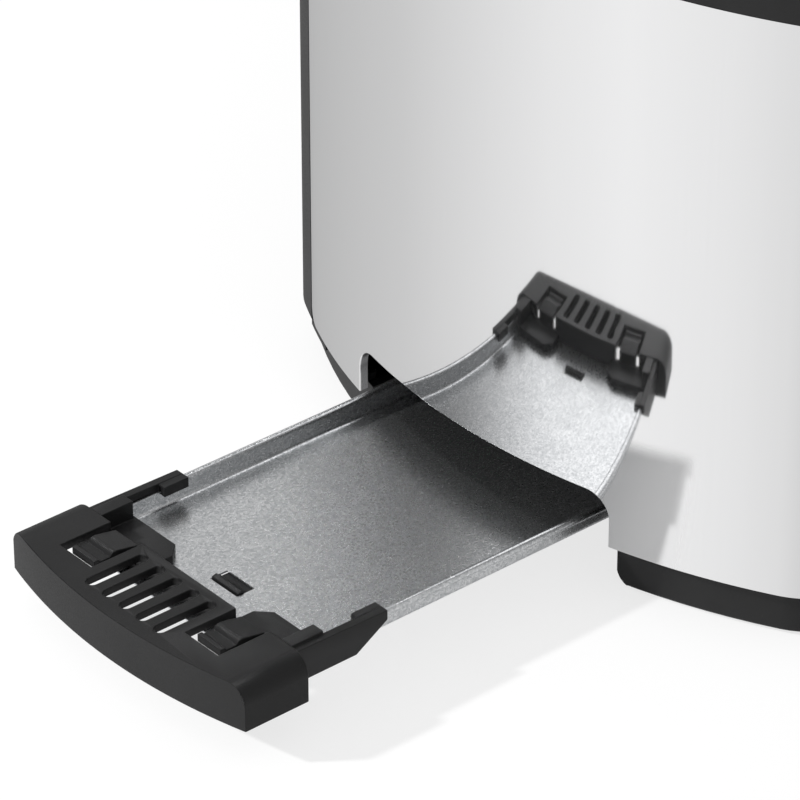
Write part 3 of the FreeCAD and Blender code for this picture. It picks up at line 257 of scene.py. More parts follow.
def polished_steel():
    finish = Finish("polished_steel", metallic=1.0)
    haze = finish.noise(0.05, detail=3.0, rough=0.6)
    hairlines = finish.noise(0.0009, detail=2.0, place=finish.stretched(1.0, 1.0, 0.006))
    tone = finish.tint(hairlines, (0.795, 0.795, 0.80), (0.81, 0.81, 0.815))
    wiped = finish.maths("MULTIPLY", finish.spread(haze, 0.35, 0.7), hairlines)
    roughness = finish.spread(wiped, 0.0, 1.0, 0.035, 0.06)
    above = finish.maths("SUBTRACT", finish.along("Z"), NOTCH_TOP)
    lean = finish.maths("MULTIPLY", above, -SHEET_LEAN)
    up = finish.maths("MULTIPLY", finish.maths("POWER", above, 2.0), -BELLY_UP)
    across = finish.maths("MULTIPLY", finish.maths("POWER", finish.along("Y"), 2.0), FLAT_ACROSS)
    form = finish.maths("ADD", lean, finish.maths("ADD", up, across))
    normal = finish.relief(haze, 0.000004, below=finish.relief(form, 1.0))
    finish.done(tone, roughness, normal, {"Coat Weight": 0.6, "Coat Roughness": 0.4})


polished_steel()

# %% [markdown]
# The black parts are injection moulded with a spark-eroded skin: a fine even grain that breaks up
# highlights. The outer edges are a shade paler: partly wear from hands and cloths, partly a painted
# highlight along the rounded edges. Dust stays in single specks. Pointiness finds those edges on the
# mesh itself, so the paler edges follow every piece.

# %% Black moulding
# Pointiness range over which outer edges turn paler: wear and a painted edge highlight.
EDGE_WEAR_AND_HIGHLIGHT = (0.55, 0.62, 0.0, 0.5)


def black_moulding():
    finish = Finish("black_moulding")
    grain = finish.noise(0.00035, detail=3.0, rough=0.65)
    cloud = finish.noise(0.018, detail=3.0)
    clouded = finish.spread(cloud, 0.3, 0.7)
    tone = finish.tint(clouded, (0.0075, 0.0075, 0.0078), (0.0115, 0.0115, 0.0118))
    dust = finish.spread(finish.noise(0.0009, detail=2.0), 0.68, 0.78, 0.0, 0.3)
    dusty = finish.layer(dust, tone, (0.03, 0.03, 0.031))
    # Outer edges a shade paler: partly wear, partly a painted highlight along the rounded edges.
    edge_wear_and_highlight = finish.spread(finish.edges(), *EDGE_WEAR_AND_HIGHLIGHT)
    tone = finish.layer(edge_wear_and_highlight, dusty, (0.032, 0.032, 0.033))
    roughness = finish.spread(grain, 0.3, 0.7, 0.32, 0.50)
    finish.done(tone, roughness, finish.relief(grain, 0.00004), {"Specular IOR Level": 0.28})


black_moulding()

# %% [markdown]
# The tray is zinc-coated sheet. The coating freezes into tiny flat crystals, which glint one by one,
# over slow clouds that the dip leaves. It is duller than bare steel, so it shows its surroundings
# only as soft light and shade.

# %% Coated sheet
def coated_sheet():
    finish = Finish("coated_sheet", metallic=0.97)
    crystals = finish.cells(0.0005)
    speckle = finish.noise(0.0004, detail=3.0, rough=0.75)
    cloud = finish.noise(0.012, detail=4.0, rough=0.6)
    mottle = finish.shares(speckle, 0.6, crystals, 0.3)
    mottle = finish.maths("ADD", mottle, finish.maths("MULTIPLY", cloud, 0.2))
    tone = finish.tint(finish.spread(mottle, 0.38, 0.72), (0.54, 0.555, 0.57), (0.90, 0.91, 0.92))
    roughness = finish.spread(mottle, 0.35, 0.75, 0.33, 0.24)
    finish.done(tone, roughness, finish.relief(speckle, 0.000016))


coated_sheet()

# %% [markdown]
# Inside stands a chassis of galvanised sheet. Its zinc froze slowly into spangle: flat crystals as
# large as a fingernail, each with its own grey. Cells of a random shade give that in one node, and a
# drawn grain in the rolling direction lies over them.

# %% Chassis sheet and reflector
def chassis_sheet():
    finish = Finish("chassis_sheet", metallic=1.0)
    spangle = finish.cells(0.006)
    grain = finish.noise(0.0005, detail=3.0, place=finish.stretched(1.0, 1.0, 0.2))
    mixed = finish.shares(spangle, 0.6, grain, 0.4)
    tone = finish.tint(mixed, (0.45, 0.46, 0.47), (0.68, 0.69, 0.70))
    roughness = finish.spread(mixed, 0.2, 0.8, 0.30, 0.50)
    finish.done(tone, roughness, finish.relief(grain, 0.000006))


def reflector():
    finish = Finish("reflector", metallic=1.0)
    rolled = finish.noise(0.0006, detail=3.0, place=finish.stretched(0.02, 1.0, 1.0))
    heat = finish.spread(finish.noise(0.04, detail=2.0), 0.45, 0.75)
    bright = finish.tint(rolled, (0.70, 0.70, 0.71), (0.80, 0.80, 0.81))
    tone = finish.layer(heat, bright, (0.74, 0.68, 0.56))
    roughness = finish.spread(rolled, 0.3, 0.7, 0.16, 0.30)
    finish.done(tone, roughness, finish.relief(rolled, 0.000003))


chassis_sheet()
reflector()

# %% [markdown]
# The racks, wires and rods are steel too, but each was worked another way: the racks are pressed and
# have browned in the heat, the wires are drawn and plated, the rods are ground round and round, and
# the spring is oil-tempered dark. One recipe takes the tints and the direction of the working marks.

# %% Worked steel
def worked_steel(name, dark, light, roughness, marks, stain=None):
    """Steel with working marks: marks stretches the grain, stain adds a heat colour in clouds."""
    finish = Finish(name, metallic=1.0)
    grain = finish.noise(0.0004, detail=3.0, place=finish.stretched(*marks))
    cloud = finish.noise(0.015, detail=3.0)
    tone = finish.tint(grain, dark, light)
    if stain:
        tone = finish.layer(finish.spread(cloud, 0.42, 0.7, 0.0, 0.7), tone, stain)
    spread = finish.spread(grain, 0.3, 0.7, roughness - 0.06, roughness + 0.08)
    finish.done(tone, spread, finish.relief(grain, 0.000004))


BROWNED, STRAW, PASSIVATED = (0.34, 0.27, 0.19), (0.50, 0.42, 0.31), (0.62, 0.59, 0.44)
worked_steel("rack_steel", (0.36, 0.36, 0.36), (0.52, 0.52, 0.51), 0.36, (0.1, 1.0, 1.0), BROWNED)
worked_steel("guide_wire", (0.58, 0.57, 0.56), (0.72, 0.71, 0.70), 0.24, (1.0, 1.0, 0.1), STRAW)
worked_steel("bright_rod", (0.66, 0.66, 0.67), (0.76, 0.76, 0.77), 0.16, (0.2, 0.2, 1.0))
worked_steel("spring_steel", (0.20, 0.20, 0.205), (0.34, 0.34, 0.35), 0.32, (1.0, 1.0, 0.3))
worked_steel("screw_steel", (0.52, 0.52, 0.50), (0.66, 0.66, 0.65), 0.30, (0.4, 0.4, 1.0), PASSIVATED)

# %% [markdown]
# The latch magnet is a stack of iron sheets, seen as fine lines across its edge, and its coil is
# wrapped in yellow tape whose turns overlap. Waves give both: even bands along one axis, bent a
# little by noise so that no two are quite alike. A Wave node's bands are a tenth of pi wide at scale 1.

# %% Magnet iron and coil tape
WAVE = 0.314


def banded(name, width, axis, dark, light, metallic, roughness):
    """Even bands of a width along an axis, for stacked sheets and wound tape."""
    finish = Finish(name, metallic=metallic)
    inputs = {"Vector": finish.place, "Scale": WAVE / width, "Distortion": 0.4, "Detail": 2.0}
    bands = finish.add("ShaderNodeTexWave", inputs, bands_direction=axis).outputs["Fac"]
    grain = finish.noise(0.0008, detail=3.0)
    tone = finish.tint(finish.shares(bands, 0.7, grain, 0.3), dark, light)
    spread = finish.spread(grain, 0.3, 0.7, roughness - 0.07, roughness + 0.07)
    finish.done(tone, spread, finish.relief(bands, 0.00006))


banded("magnet_iron", 0.6 * MM, "Y", (0.16, 0.15, 0.15), (0.38, 0.37, 0.36), 1.0, 0.45)
banded("coil_tape", 4.0 * MM, "Z", (0.45, 0.33, 0.05), (0.70, 0.56, 0.14), 0.0, 0.30)

# %% [markdown]
# The heater boards are pressed mica: small flakes that lie flat and shine each in its own shade of
# silver and straw. The ribbon wound on them is a resistance alloy, which a first glow turns to a
# dull grey-brown oxide.

# %% Mica and heater ribbon
def mica():
    finish = Finish("mica")
    flakes = finish.cells(0.0035, place=finish.stretched(1.0, 0.2, 1.0))
    clouds = finish.noise(0.02, detail=4.0)
    mixed = finish.shares(flakes, 0.55, clouds, 0.45)
    tone = finish.tint(mixed, (0.42, 0.36, 0.26), (0.72, 0.67, 0.56))
    roughness = finish.spread(flakes, 0.0, 1.0, 0.22, 0.50)
    finish.done(tone, roughness, finish.relief(flakes, 0.00002), {"Specular IOR Level": 0.7})


def heater_ribbon():
    finish = Finish("heater_ribbon", metallic=0.8)
    oxide = finish.noise(0.003, detail=4.0, rough=0.7)
    drawn = finish.noise(0.0003, detail=2.0, place=finish.stretched(0.05, 1.0, 1.0))
    tone = finish.tint(oxide, (0.16, 0.13, 0.11), (0.34, 0.30, 0.26))
    tone = finish.layer(finish.spread(drawn, 0.6, 0.8, 0.0, 0.4), tone, (0.45, 0.43, 0.41))
    roughness = finish.spread(oxide, 0.3, 0.7, 0.42, 0.62)
    finish.done(tone, roughness, finish.relief(drawn, 0.000006))


mica()
heater_ribbon()

# %% [markdown]
# Rubber is matt and very slightly dusty, the grey and white mouldings are plain ABS with the bloom
# of a satin mould, and the control board is green lacquer over copper tracks, which show as paler
# lines where the lacquer runs over them.

# %% Rubber, plain mouldings and board
def moulded(name, dark, light, roughness, grain_size, depth):
    """A moulded part: fine grain, slow clouds in the colour, paler outer edges."""
    finish = Finish(name)
    grain = finish.noise(grain_size, detail=3.0, rough=0.6)
    cloud = finish.noise(0.02, detail=3.0)
    tone = finish.tint(finish.spread(cloud, 0.3, 0.7), dark, light)
    # Paler outer edges from pointiness: partly wear, partly a painted highlight along the rounded edges.
    edge_wear_and_highlight_tone = tuple(min(1.0, part * 1.25 + 0.01) for part in light)
    tone = finish.layer(finish.spread(finish.edges(), *EDGE_WEAR_AND_HIGHLIGHT), tone, edge_wear_and_highlight_tone)
    spread = finish.spread(grain, 0.3, 0.7, roughness - 0.07, roughness + 0.07)
    finish.done(tone, spread, finish.relief(grain, depth))


def board_laminate():
    finish = Finish("board_laminate")
    tracks = finish.cells(0.004, place=finish.stretched(1.0, 1.0, 0.35))
    weave = finish.noise(0.0006, detail=2.0)
    lacquer = finish.tint(weave, (0.025, 0.10, 0.045), (0.04, 0.15, 0.07))
    tone = finish.layer(finish.spread(tracks, 0.6, 0.64, 0.0, 0.6), lacquer, (0.09, 0.26, 0.12))
    roughness = finish.spread(weave, 0.3, 0.7, 0.25, 0.40)
    finish.done(tone, roughness, finish.relief(finish.spread(tracks, 0.6, 0.64), 0.00003))


moulded("rubber", (0.018, 0.018, 0.018), (0.03, 0.03, 0.03), 0.78, 0.0006, 0.00003)
moulded("grey_moulding", (0.20, 0.20, 0.21), (0.27, 0.27, 0.28), 0.48, 0.0004, 0.000012)
moulded("white_moulding", (0.66, 0.66, 0.64), (0.76, 0.76, 0.74), 0.42, 0.0004, 0.00001)
board_laminate()

for row in frame["record"]["subparts"]:
    item = NODES[row["node"]]
    item.data.materials.clear()
    item.data.materials.append(FINISHES[row["material_slot"]])
SLOT_OF = {row["node"]: row["material_slot"] for row in frame["record"]["subparts"]}

# %% [markdown]
# The construction's solids have knife-sharp edges, and no moulded or pressed part does: a real edge
# has a small radius that catches a line of light. So each solid is copied, its loose triangles are
# joined and its flats made whole, and a Bevel modifier rounds what is sharp. Where tight edges meet, a
# bevel can throw a point off the part, so such a point is put back on the solid. Weighted normals then
# keep the flats flat, and the border of a flat with many corners is kept sharp, because light would
# fan out from its corners. The radius depends on how the part is made, so it goes by finish.

# %% Helpers for pieces
def add_piece(name, mesh, slot, body, *stands_for):
    """Put a finished mesh in the scene with its finish, its body and the nodes it stands for."""
    mesh.name = name
    mesh.materials.clear()
    mesh.materials.append(FINISHES[slot])
    piece = put(name, mesh)
    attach(piece, body)
    if stands_for:
        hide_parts(*stands_for)
    print("piece", name, len(mesh.polygons), "faces on", body)


def applied(mesh, *steps):
    """The mesh after some modifiers, each given as its kind and settings."""
    item = put("workpiece", mesh)
    for kind, settings in steps:
        modifier = item.modifiers.new(kind.lower(), kind)
        for key, value in settings.items():
            setattr(modifier, key, value)
    return taken(item)


def shaded(mesh, angle=35):
    """Smooth shading that breaks at edges sharper than an angle."""
    mesh.polygons.foreach_set("use_smooth", [True] * len(mesh.polygons))
    mesh.set_sharp_from_angle(angle=math.radians(angle))
    return mesh


def finished(shape):
    """Turn a bmesh into a mesh."""
    mesh = bpy.data.meshes.new("mesh")
    shape.to_mesh(mesh)
    shape.free()
    return mesh


def bevelled(edge, rounds=2, clamped=True):
    """A Bevel modifier's settings for edges rounded to a radius."""
    settings = {"width": edge, "segments": rounds, "use_clamp_overlap": clamped}
    return "BEVEL", {**settings, "limit_method": "ANGLE", "angle_limit": math.radians(SHARP)}


SHARP = 38
FLAT_FIRST = ("WEIGHTED_NORMAL", {"keep_sharp": True, "weight": 90})
MOST_CORNERS = 6
SAME_PLACE = 0.003 * MM
SAME_PLANE = math.radians(0.1)


def softened(node, edge, moved=None):
    """A copy of a solid, its points moved if asked, with its edges rounded to a radius."""
    shape = bmesh.new()
    shape.from_mesh(NODES[node].data)
    bmesh.ops.remove_doubles(shape, verts=shape.verts, dist=SAME_PLACE)
    bmesh.ops.dissolve_limit(shape, angle_limit=SAME_PLANE, verts=shape.verts, edges=shape.edges)
    if moved:
        for vert in shape.verts:
            vert.co = moved(vert.co)
    solid = BVHTree.FromBMesh(shape)
    clamped = SLOT_OF[node] != "black_moulding"
    rounded = applied(shaded(finished(shape), SHARP), bevelled(edge, clamped=clamped))
    for vert in rounded.vertices:
        place, _, _, distance = solid.find_nearest(vert.co)
        if distance > 0.5 * edge:
            vert.co = place
    shaded(rounded, 60)
    for face in rounded.polygons:
        if len(face.vertices) > MOST_CORNERS:
            for corner in face.loop_indices:
                rounded.edges[rounded.loops[corner].edge_index].use_edge_sharp = True
    return applied(rounded, FLAT_FIRST)


# %% Softened solids
EDGE_OF = {
    "black_moulding": 0.22 * MM,
    "grey_moulding": 0.3 * MM,
    "white_moulding": 0.4 * MM,
    "rubber": 0.6 * MM,
    "chassis_sheet": 0.15 * MM,
    "reflector": 0.15 * MM,
    "rack_steel": 0.2 * MM,
    "bright_rod": 0.4 * MM,
    "magnet_iron": 0.15 * MM,
    "board_laminate": 0.1 * MM,
    "mica": 0.1 * MM,
}
OWN_FORM = {
    "outer_sleeve", "crumb_tray_pan", "browning_knob", "lift_spring", "latch_coil",
    "base_screws", "board_screws", "front_fascia",
}
for node, slot in SLOT_OF.items():
    if node in OWN_FORM or slot not in EDGE_OF:
        continue
    add_piece(f"{node}_soft", softened(node, EDGE_OF[slot]), slot, BODY_OF[node], node)


PANEL_FLAT = 104 * MM
PANEL_TUCK = 0.035


def flush(point):
    """The front panel's ends, tucked in by under a millimetre to meet the sheet at the seams."""
    beyond = max(0.0, abs(point.x) - PANEL_FLAT)
    return Vector((point.x - math.copysign(beyond * PANEL_TUCK, point.x), point.y, point.z))


panel = softened("front_fascia", EDGE_OF["black_moulding"], flush)
add_piece("front_fascia_soft", panel, "black_moulding", "housing", "front_fascia")

# %% [markdown]
# The body's plan is a rounded oblong: both ends are wide arcs, the sides are straight and the corners
# are tight arcs that run into both. Every piece of the shell follows that one outline, so it is
# worked out once, from the sleeve's own box and the two radii.

# %% The body's plan
END_RADIUS = 189 * MM
CORNER_RADIUS = 24 * MM
sleeve_low, sleeve_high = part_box("outer_sleeve")
end_x = sleeve_high.x
side_y = sleeve_high.y
seam_y = -sleeve_low.y
end_centre = end_x - END_RADIUS
corner_y = side_y - CORNER_RADIUS
corner_x = end_centre + math.sqrt((END_RADIUS - CORNER_RADIUS) ** 2 - corner_y ** 2)
corner_turn = math.atan2(corner_y, corner_x - end_centre)


def arc(x, y, radius, first, last, steps):
    """Points along an arc, from one angle to another."""
    angles = [first + (last - first) * step / steps for step in range(steps + 1)]
    return [(x + radius * math.cos(angle), y + radius * math.sin(angle)) for angle in angles]


def on_end(y, depth=0.0):
    """The tray end's x at a distance y from the middle, at a depth inside the surface."""
    return end_centre + math.sqrt((END_RADIUS - depth) ** 2 - y ** 2)


print("corner arc centres at", round(corner_x, 4), round(corner_y, 4))

# %% [markdown]
# The sleeve is one strip of sheet bent round both ends and the back, with an arched notch for the
# tray. The notch's edge isn't cut off raw: the sheet rolls round a small radius and turns inwards, so
# that a finger meets no edge. The skin is built as columns of faces, whose lower ends follow the
# notch, and the roll as rings round the notch. Solidify then gives the sheet its thickness. The
# turned-in part is a strip of its own with a dark finish, which is painted shade: it stands for the
# dark inside of the body that this steel mirrors.

# %% Sleeve
NOTCH_HALF = 48.1 * MM
NOTCH_HEIGHT = 14.5 * MM
NOTCH_ROUNDING = 7 * MM
NOTCH_RETURN = 2.6 * MM
ROLL = 0.4 * MM
SHEET = 0.7 * MM
SLEEVE_CORNER = 4 * MM
COLUMN = 1.2 * MM
BREAST = 26 * MM
ROUNDING_STEPS = 12
CORNER_STEPS = 40
FAR_END_STEPS = 150
ROLL_STEP = 0.3


def notch_stations():
    """Points round the notch's rolled edge as (y, z, outward y, outward z), from left to right."""
    half = NOTCH_HALF + ROLL
    radius = NOTCH_ROUNDING + ROLL
    middle_y = half - radius
    middle_z = sleeve_low.z + NOTCH_HEIGHT + ROLL - radius
    left = [(-half, sleeve_low.z, -1.0, 0.0)]
    for out_y, out_z in arc(0, 0, 1, math.pi, math.pi / 2, ROUNDING_STEPS):
        left.append((-middle_y + radius * out_y, middle_z + radius * out_z, out_y, out_z))
    count = round(2 * middle_y / COLUMN)
    places = [2 * middle_y * step / count - middle_y for step in range(1, count)]
    top = [(y, middle_z + radius, 0.0, 1.0) for y in places]
    right = [(-y, z, -out_y, out_z) for y, z, out_y, out_z in reversed(left)]
    return left + top + right


def spaced(first, last, gap):
    """Even steps of about a gap, both ends included."""
    count = max(1, round(abs(last - first) / gap))
    return [first + (last - first) * step / count for step in range(count + 1)]


def corner_lift(distance):
    """How far the sheet's rounded lower corner lifts its edge at a distance from the seam."""
    inside = max(0.0, SLEEVE_CORNER - distance)
    return SLEEVE_CORNER - math.sqrt(SLEEVE_CORNER ** 2 - inside ** 2)


def sleeve_mesh():
    shape = bmesh.new()
    stations = notch_stations()
    half = -stations[0][0]
    shoulder = stations[1][1]
    breast = sleeve_low.z + BREAST
    levels = (shoulder, breast, sleeve_high.z)
    near_seam = [step * SLEEVE_CORNER / 8 for step in range(9)]
    left = [-seam_y + step for step in near_seam] + spaced(SLEEVE_CORNER - seam_y, -half, COLUMN)[1:]
    turn_y = END_RADIUS * math.sin(corner_turn)
    right = spaced(half, turn_y, COLUMN)
    far_turn = math.pi - corner_turn
    far_last = math.pi + math.asin(seam_y / END_RADIUS)
    beyond = arc(corner_x, corner_y, CORNER_RADIUS, corner_turn, math.pi / 2, CORNER_STEPS)[1:]
    beyond += arc(-corner_x, corner_y, CORNER_RADIUS, math.pi / 2, far_turn, CORNER_STEPS)
    beyond += arc(-end_centre, 0, END_RADIUS, far_turn, far_last, FAR_END_STEPS)[1:]

    def column(x, y, lift):
        heights = (sleeve_low.z + lift,) + levels
        return [shape.verts.new((x, y, z)) for z in heights]

    def joined(columns):
        for one, other in zip(columns, columns[1:]):
            for row in range(min(len(one), len(other)) - 1):
                shape.faces.new((one[-2 - row], other[-2 - row], other[-1 - row], one[-1 - row]))

    before = [column(on_end(y), y, corner_lift(y + seam_y)) for y in left]
    arch = [
        [shape.verts.new((on_end(y), y, z)) for z in (edge_z, breast, sleeve_high.z)]
        for y, edge_z, _, _ in stations[2:-2]
    ]
    after = [column(on_end(y), y, 0.0) for y in right]
    after += [column(x, y, corner_lift(abs(y + seam_y)) if x < 0 else 0.0) for x, y in beyond]
    joined(before)
    joined([before[-1][1:]] + arch + [after[0][1:]])
    joined(after)
    ring = before[-1][:2] + [verts[0] for verts in arch] + [after[0][1], after[0][0]]
    for turn in spaced(0, math.pi / 2, ROLL_STEP)[1:]:
        deeper = notch_ring(shape, ROLL * (1 - math.cos(turn)), ROLL * math.sin(turn))
        banded_by(shape, ring, deeper)
        ring = deeper
    return finished(shape)


def notch_ring(shape, depth, inwards):
    """Points round the notch at a depth behind the skin, moved in from the roll's outer edge."""
    ring = []
    for y, z, out_y, out_z in notch_stations():
        place_y = y - out_y * inwards
        ring.append(shape.verts.new((on_end(place_y, depth), place_y, z - out_z * inwards)))
    return ring


def banded_by(shape, ring, deeper):
    """A band of faces between two rings of the notch."""
    for index in range(len(ring) - 1):
        shape.faces.new((ring[index], deeper[index], deeper[index + 1], ring[index + 1]))


def notch_lining_mesh():
    """The turned-in strip behind the roll."""
    shape = bmesh.new()
    banded_by(shape, notch_ring(shape, ROLL, ROLL), notch_ring(shape, NOTCH_RETURN, ROLL))
    return finished(shape)


thick = ("SOLIDIFY", {"thickness": SHEET, "offset": -1.0, "use_even_offset": True})
steel_mesh = applied(shaded(applied(sleeve_mesh(), thick)), FLAT_FIRST)
add_piece("steel_sleeve", steel_mesh, "polished_steel", "housing", "outer_sleeve")
# The turned-in strip takes the dark spring_steel finish as painted shade, for the dark inside of the body
# that this steel mirrors.
lining_mesh = shaded(applied(notch_lining_mesh(), thick))
add_piece("notch_lining_painted_shade", lining_mesh, "spring_steel", "housing")

# %% [markdown]
# The sleeve's lower corners are rounded off beside the front panel, and the moulding shows in the
# gap: a heel of the base stands up behind the sheet at each seam and shows as a thin black line under
# it. It follows the same plan, just inside the sheet.

# %% Heels behind the sleeve's corners
HEEL_HEIGHT = 6.5 * MM
HEEL_LENGTH = 12 * MM
HEEL_DEPTH = 4.5 * MM
HEEL_DROP = 2.2 * MM
HEEL_LIP = 0.15 * MM
HEEL_LEDGE = 0.1 * MM
HEEL_PAST_SEAM = 1.2 * MM
HEEL_STEP = 1.5 * MM
HEEL_EDGE = 0.3 * MM
BEHIND_SHEET = 0.05 * MM


def heel_mesh():
    """Both heels: short curved blocks behind the sleeve's two lower corners."""
    shape = bmesh.new()
    bottom = sleeve_low.z - HEEL_DROP
    ledge = sleeve_low.z - HEEL_LEDGE
    top = sleeve_low.z + HEEL_HEIGHT
    for side in (1, -1):
        rings = []
        for y in spaced(-seam_y - HEEL_PAST_SEAM, HEEL_LENGTH - seam_y, HEEL_STEP):
            outer = side * on_end(y, SHEET + BEHIND_SHEET)
            inner = side * on_end(y, HEEL_DEPTH)
            lip = side * on_end(y, HEEL_LIP)
            corners = [(lip, bottom), (lip, ledge), (outer, ledge), (outer, top)]
            corners += [(inner, top), (inner, bottom)]
            rings.append([shape.verts.new((x, y, z)) for x, z in corners])
        for one, other in zip(rings, rings[1:]):
            for index in range(6):
                shape.faces.new((one[index - 1], one[index], other[index], other[index - 1]))
        shape.faces.new(rings[0])
        shape.faces.new(rings[-1])
    bmesh.ops.recalc_face_normals(shape, faces=shape.faces)
    return shaded(applied(finished(shape), bevelled(HEEL_EDGE)))


add_piece("base_heels", heel_mesh(), "black_moulding", "housing")

# %% [markdown]
# The crumb tray is folded from one sheet: a flat floor, low walls with a small inside radius, and
# rims curled outwards into beads, which stiffen it and slide on the body's runners. One section is
# drawn across it and drawn out along X in lengths, because the beads stop where the handle's arms
# take over, and a window is left out of the floor for the handle's catch.

# %% Crumb tray
TRAY_SHEET = 0.6 * MM
PAN_HALF = 38.2 * MM
PAN_FOLD = 1.0 * MM
BEAD = 1.05 * MM
BEAD_STOP = 0.6 * MM
PAN_EDGE = 0.08 * MM
FOLD_STEPS = 5
BEAD_STEPS = 14
WALL_FACE = 3 + FOLD_STEPS
NOSE_HALF = 37.0 * MM
WINDOW = (5.5 * MM, 10.6 * MM)
WINDOW_PLACE = 29.15 * MM
HANDLE_BOW = 10 * MM
HANDLE_DEPTH = 15.8 * MM
pan_low, pan_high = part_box("crumb_tray_pan")
handle_low, handle_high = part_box("crumb_tray_handle")
tray_front = handle_high.x - HANDLE_BOW
pan_floor = pan_low.z + TRAY_SHEET
bead_z = pan_high.z - BEAD


def pan_section():
    """Half the tray's section, from the middle outwards: floor, fold, wall and bead."""
    half = [(WINDOW[1] / 2, pan_floor), (NOSE_HALF, pan_floor)]
    half += arc(PAN_HALF - PAN_FOLD, pan_floor + PAN_FOLD, PAN_FOLD, -math.pi / 2, 0, FOLD_STEPS)
    half += arc(PAN_HALF + BEAD, bead_z, BEAD, math.pi, -math.pi / 2, BEAD_STEPS)
    return half


def tray_mesh():
    shape = bmesh.new()
    half = pan_section()
    section = [(-y, z) for y, z in reversed(half)] + half
    middle = len(half) - 1
    bead_end = handle_low.x - BEAD_STOP
    back = tray_front - HANDLE_DEPTH
    hole = tray_front - WINDOW_PLACE
    stops = [pan_low.x, bead_end, hole - WINDOW[0] / 2, hole + WINDOW[0] / 2, back, pan_high.x]
    rows = [[shape.verts.new((x, y, z)) for y, z in section] for x in stops]
    for length in range(len(stops) - 1):
        for index in range(len(section) - 1):
            reach = abs(index - middle)
            in_window = length == 2 and reach == 0
            past_beads = length >= 1 and reach > WALL_FACE
            past_nose = length == 4 and reach > 1
            if in_window or past_beads or past_nose:
                continue
            one, other = rows[length], rows[length + 1]
            shape.faces.new((one[index], other[index], other[index + 1], one[index + 1]))
    loose = [vert for vert in shape.verts if not vert.link_faces]
    bmesh.ops.delete(shape, geom=loose, context="VERTS")
    return finished(shape)


def tray_end_mesh():
    """The tray's turned-up inner end, a flat wall between the side walls."""
    shape = bmesh.new()
    x = pan_low.x + TRAY_SHEET
    corners = [(-PAN_HALF, pan_floor), (PAN_HALF, pan_floor), (PAN_HALF, bead_z), (-PAN_HALF, bead_z)]
    shape.faces.new([shape.verts.new((x, y, z)) for y, z in corners])
    return finished(shape)


pan_thick = ("SOLIDIFY", {"thickness": TRAY_SHEET, "offset": -1.0, "use_even_offset": True})
pan_edges = bevelled(PAN_EDGE, 1)
pan_mesh = shaded(applied(tray_mesh(), pan_thick, pan_edges))
add_piece("tray_pan", pan_mesh, "coated_sheet", "crumb_tray", "crumb_tray_pan")
end_mesh = shaded(applied(tray_end_mesh(), pan_thick, pan_edges))
add_piece("tray_pan_end", end_mesh, "coated_sheet", "crumb_tray")
print("tray floor at", round(pan_floor, 4), "beads at", round(bead_z, 4))

# %% [markdown]
# What repeats is made by Geometry Nodes: a wire grid, turns of a winding, copies round a circle or at
# four corners. This helper builds such a tree with named inputs for its sizes. The tree ends by making
# its instances real and setting the finish, and the result is taken off as a plain mesh.

# %% A helper for Geometry Nodes
class Pattern:
    """A Geometry Nodes tree while it is being wired."""

    def __init__(self, name, slot):
        self.tree = bpy.data.node_groups.new(name, "GeometryNodeTree")
        self.add = partial(new_node, self.tree)
        self.slot = slot
        self.values = {}
        for side in ("INPUT", "OUTPUT"):
            self.tree.interface.new_socket(name="Geometry", in_out=side, socket_type="NodeSocketGeometry")
        self.start = self.tree.nodes.new("NodeGroupInput")
        self.end = self.tree.nodes.new("NodeGroupOutput")
        self.copy = self.start.outputs[0]

    def size(self, name, value):
        """A named input, whole or not as its value is."""
        kind = "NodeSocketInt" if isinstance(value, int) else "NodeSocketFloat"
        socket = self.tree.interface.new_socket(name=name, in_out="INPUT", socket_type=kind)
        self.values[socket.identifier] = value
        return [output for output in self.start.outputs if output.identifier == socket.identifier][0]

    def sum(self, operation, first, second):
        """One sum on two values."""
        return self.add("ShaderNodeMath", {0: first, 1: second}, operation=operation).outputs[0]

    def vector(self, x=0.0, y=0.0, z=0.0):
        """Three values as one vector."""
        return self.add("ShaderNodeCombineXYZ", {0: x, 1: y, 2: z}).outputs[0]

    def line(self, start, end):
        """A straight curve."""
        return self.add("GeometryNodeCurvePrimitiveLine", {"Start": start, "End": end}).outputs[0]

    def wire(self, curve, radius):
        """Round wire along a curve, closed at its ends."""
        ring = self.add("GeometryNodeCurvePrimitiveCircle", {"Resolution": 10, "Radius": radius})
        inputs = {"Curve": curve, "Profile Curve": ring.outputs[0], "Fill Caps": True}
        return self.add("GeometryNodeCurveToMesh", inputs).outputs[0]

    def copies(self, points, instance, **more):
        """A copy of a shape at each point."""
        inputs = {"Points": points, "Instance": instance, **more}
        return self.add("GeometryNodeInstanceOnPoints", inputs).outputs[0]

    def made(self, geometry, copy=None):
        """Finish the tree, run it on an object and give the plain mesh."""
        real = self.add("GeometryNodeRealizeInstances", {0: geometry})
        coat = self.add("GeometryNodeSetMaterial", {0: real.outputs[0], "Material": FINISHES[self.slot]})
        self.tree.links.new(coat.outputs[0], self.end.inputs[0])
        host = put("host", copy or bpy.data.meshes.new("empty"))
        modifier = host.modifiers.new("pattern", "NODES")
        modifier.node_group = self.tree
        for identifier, value in self.values.items():
            modifier[identifier] = value
        mesh = taken(host)
        print("pattern", self.tree.name, len(mesh.polygons), "faces")
        return mesh


# %% [markdown]
# Each bread guide is a grid of plated wire: uprights welded to a top wire and to a longer bottom wire
# that turns in the end plates. All four are alike, so one recipe makes each grid at the origin, sized
# to its guide, and it is moved to its place.

# %% Bread guides
GUIDE_WIRES = 6
GUIDE_PITCH = 26.4 * MM
WIRE_RADIUS = 0.9 * MM


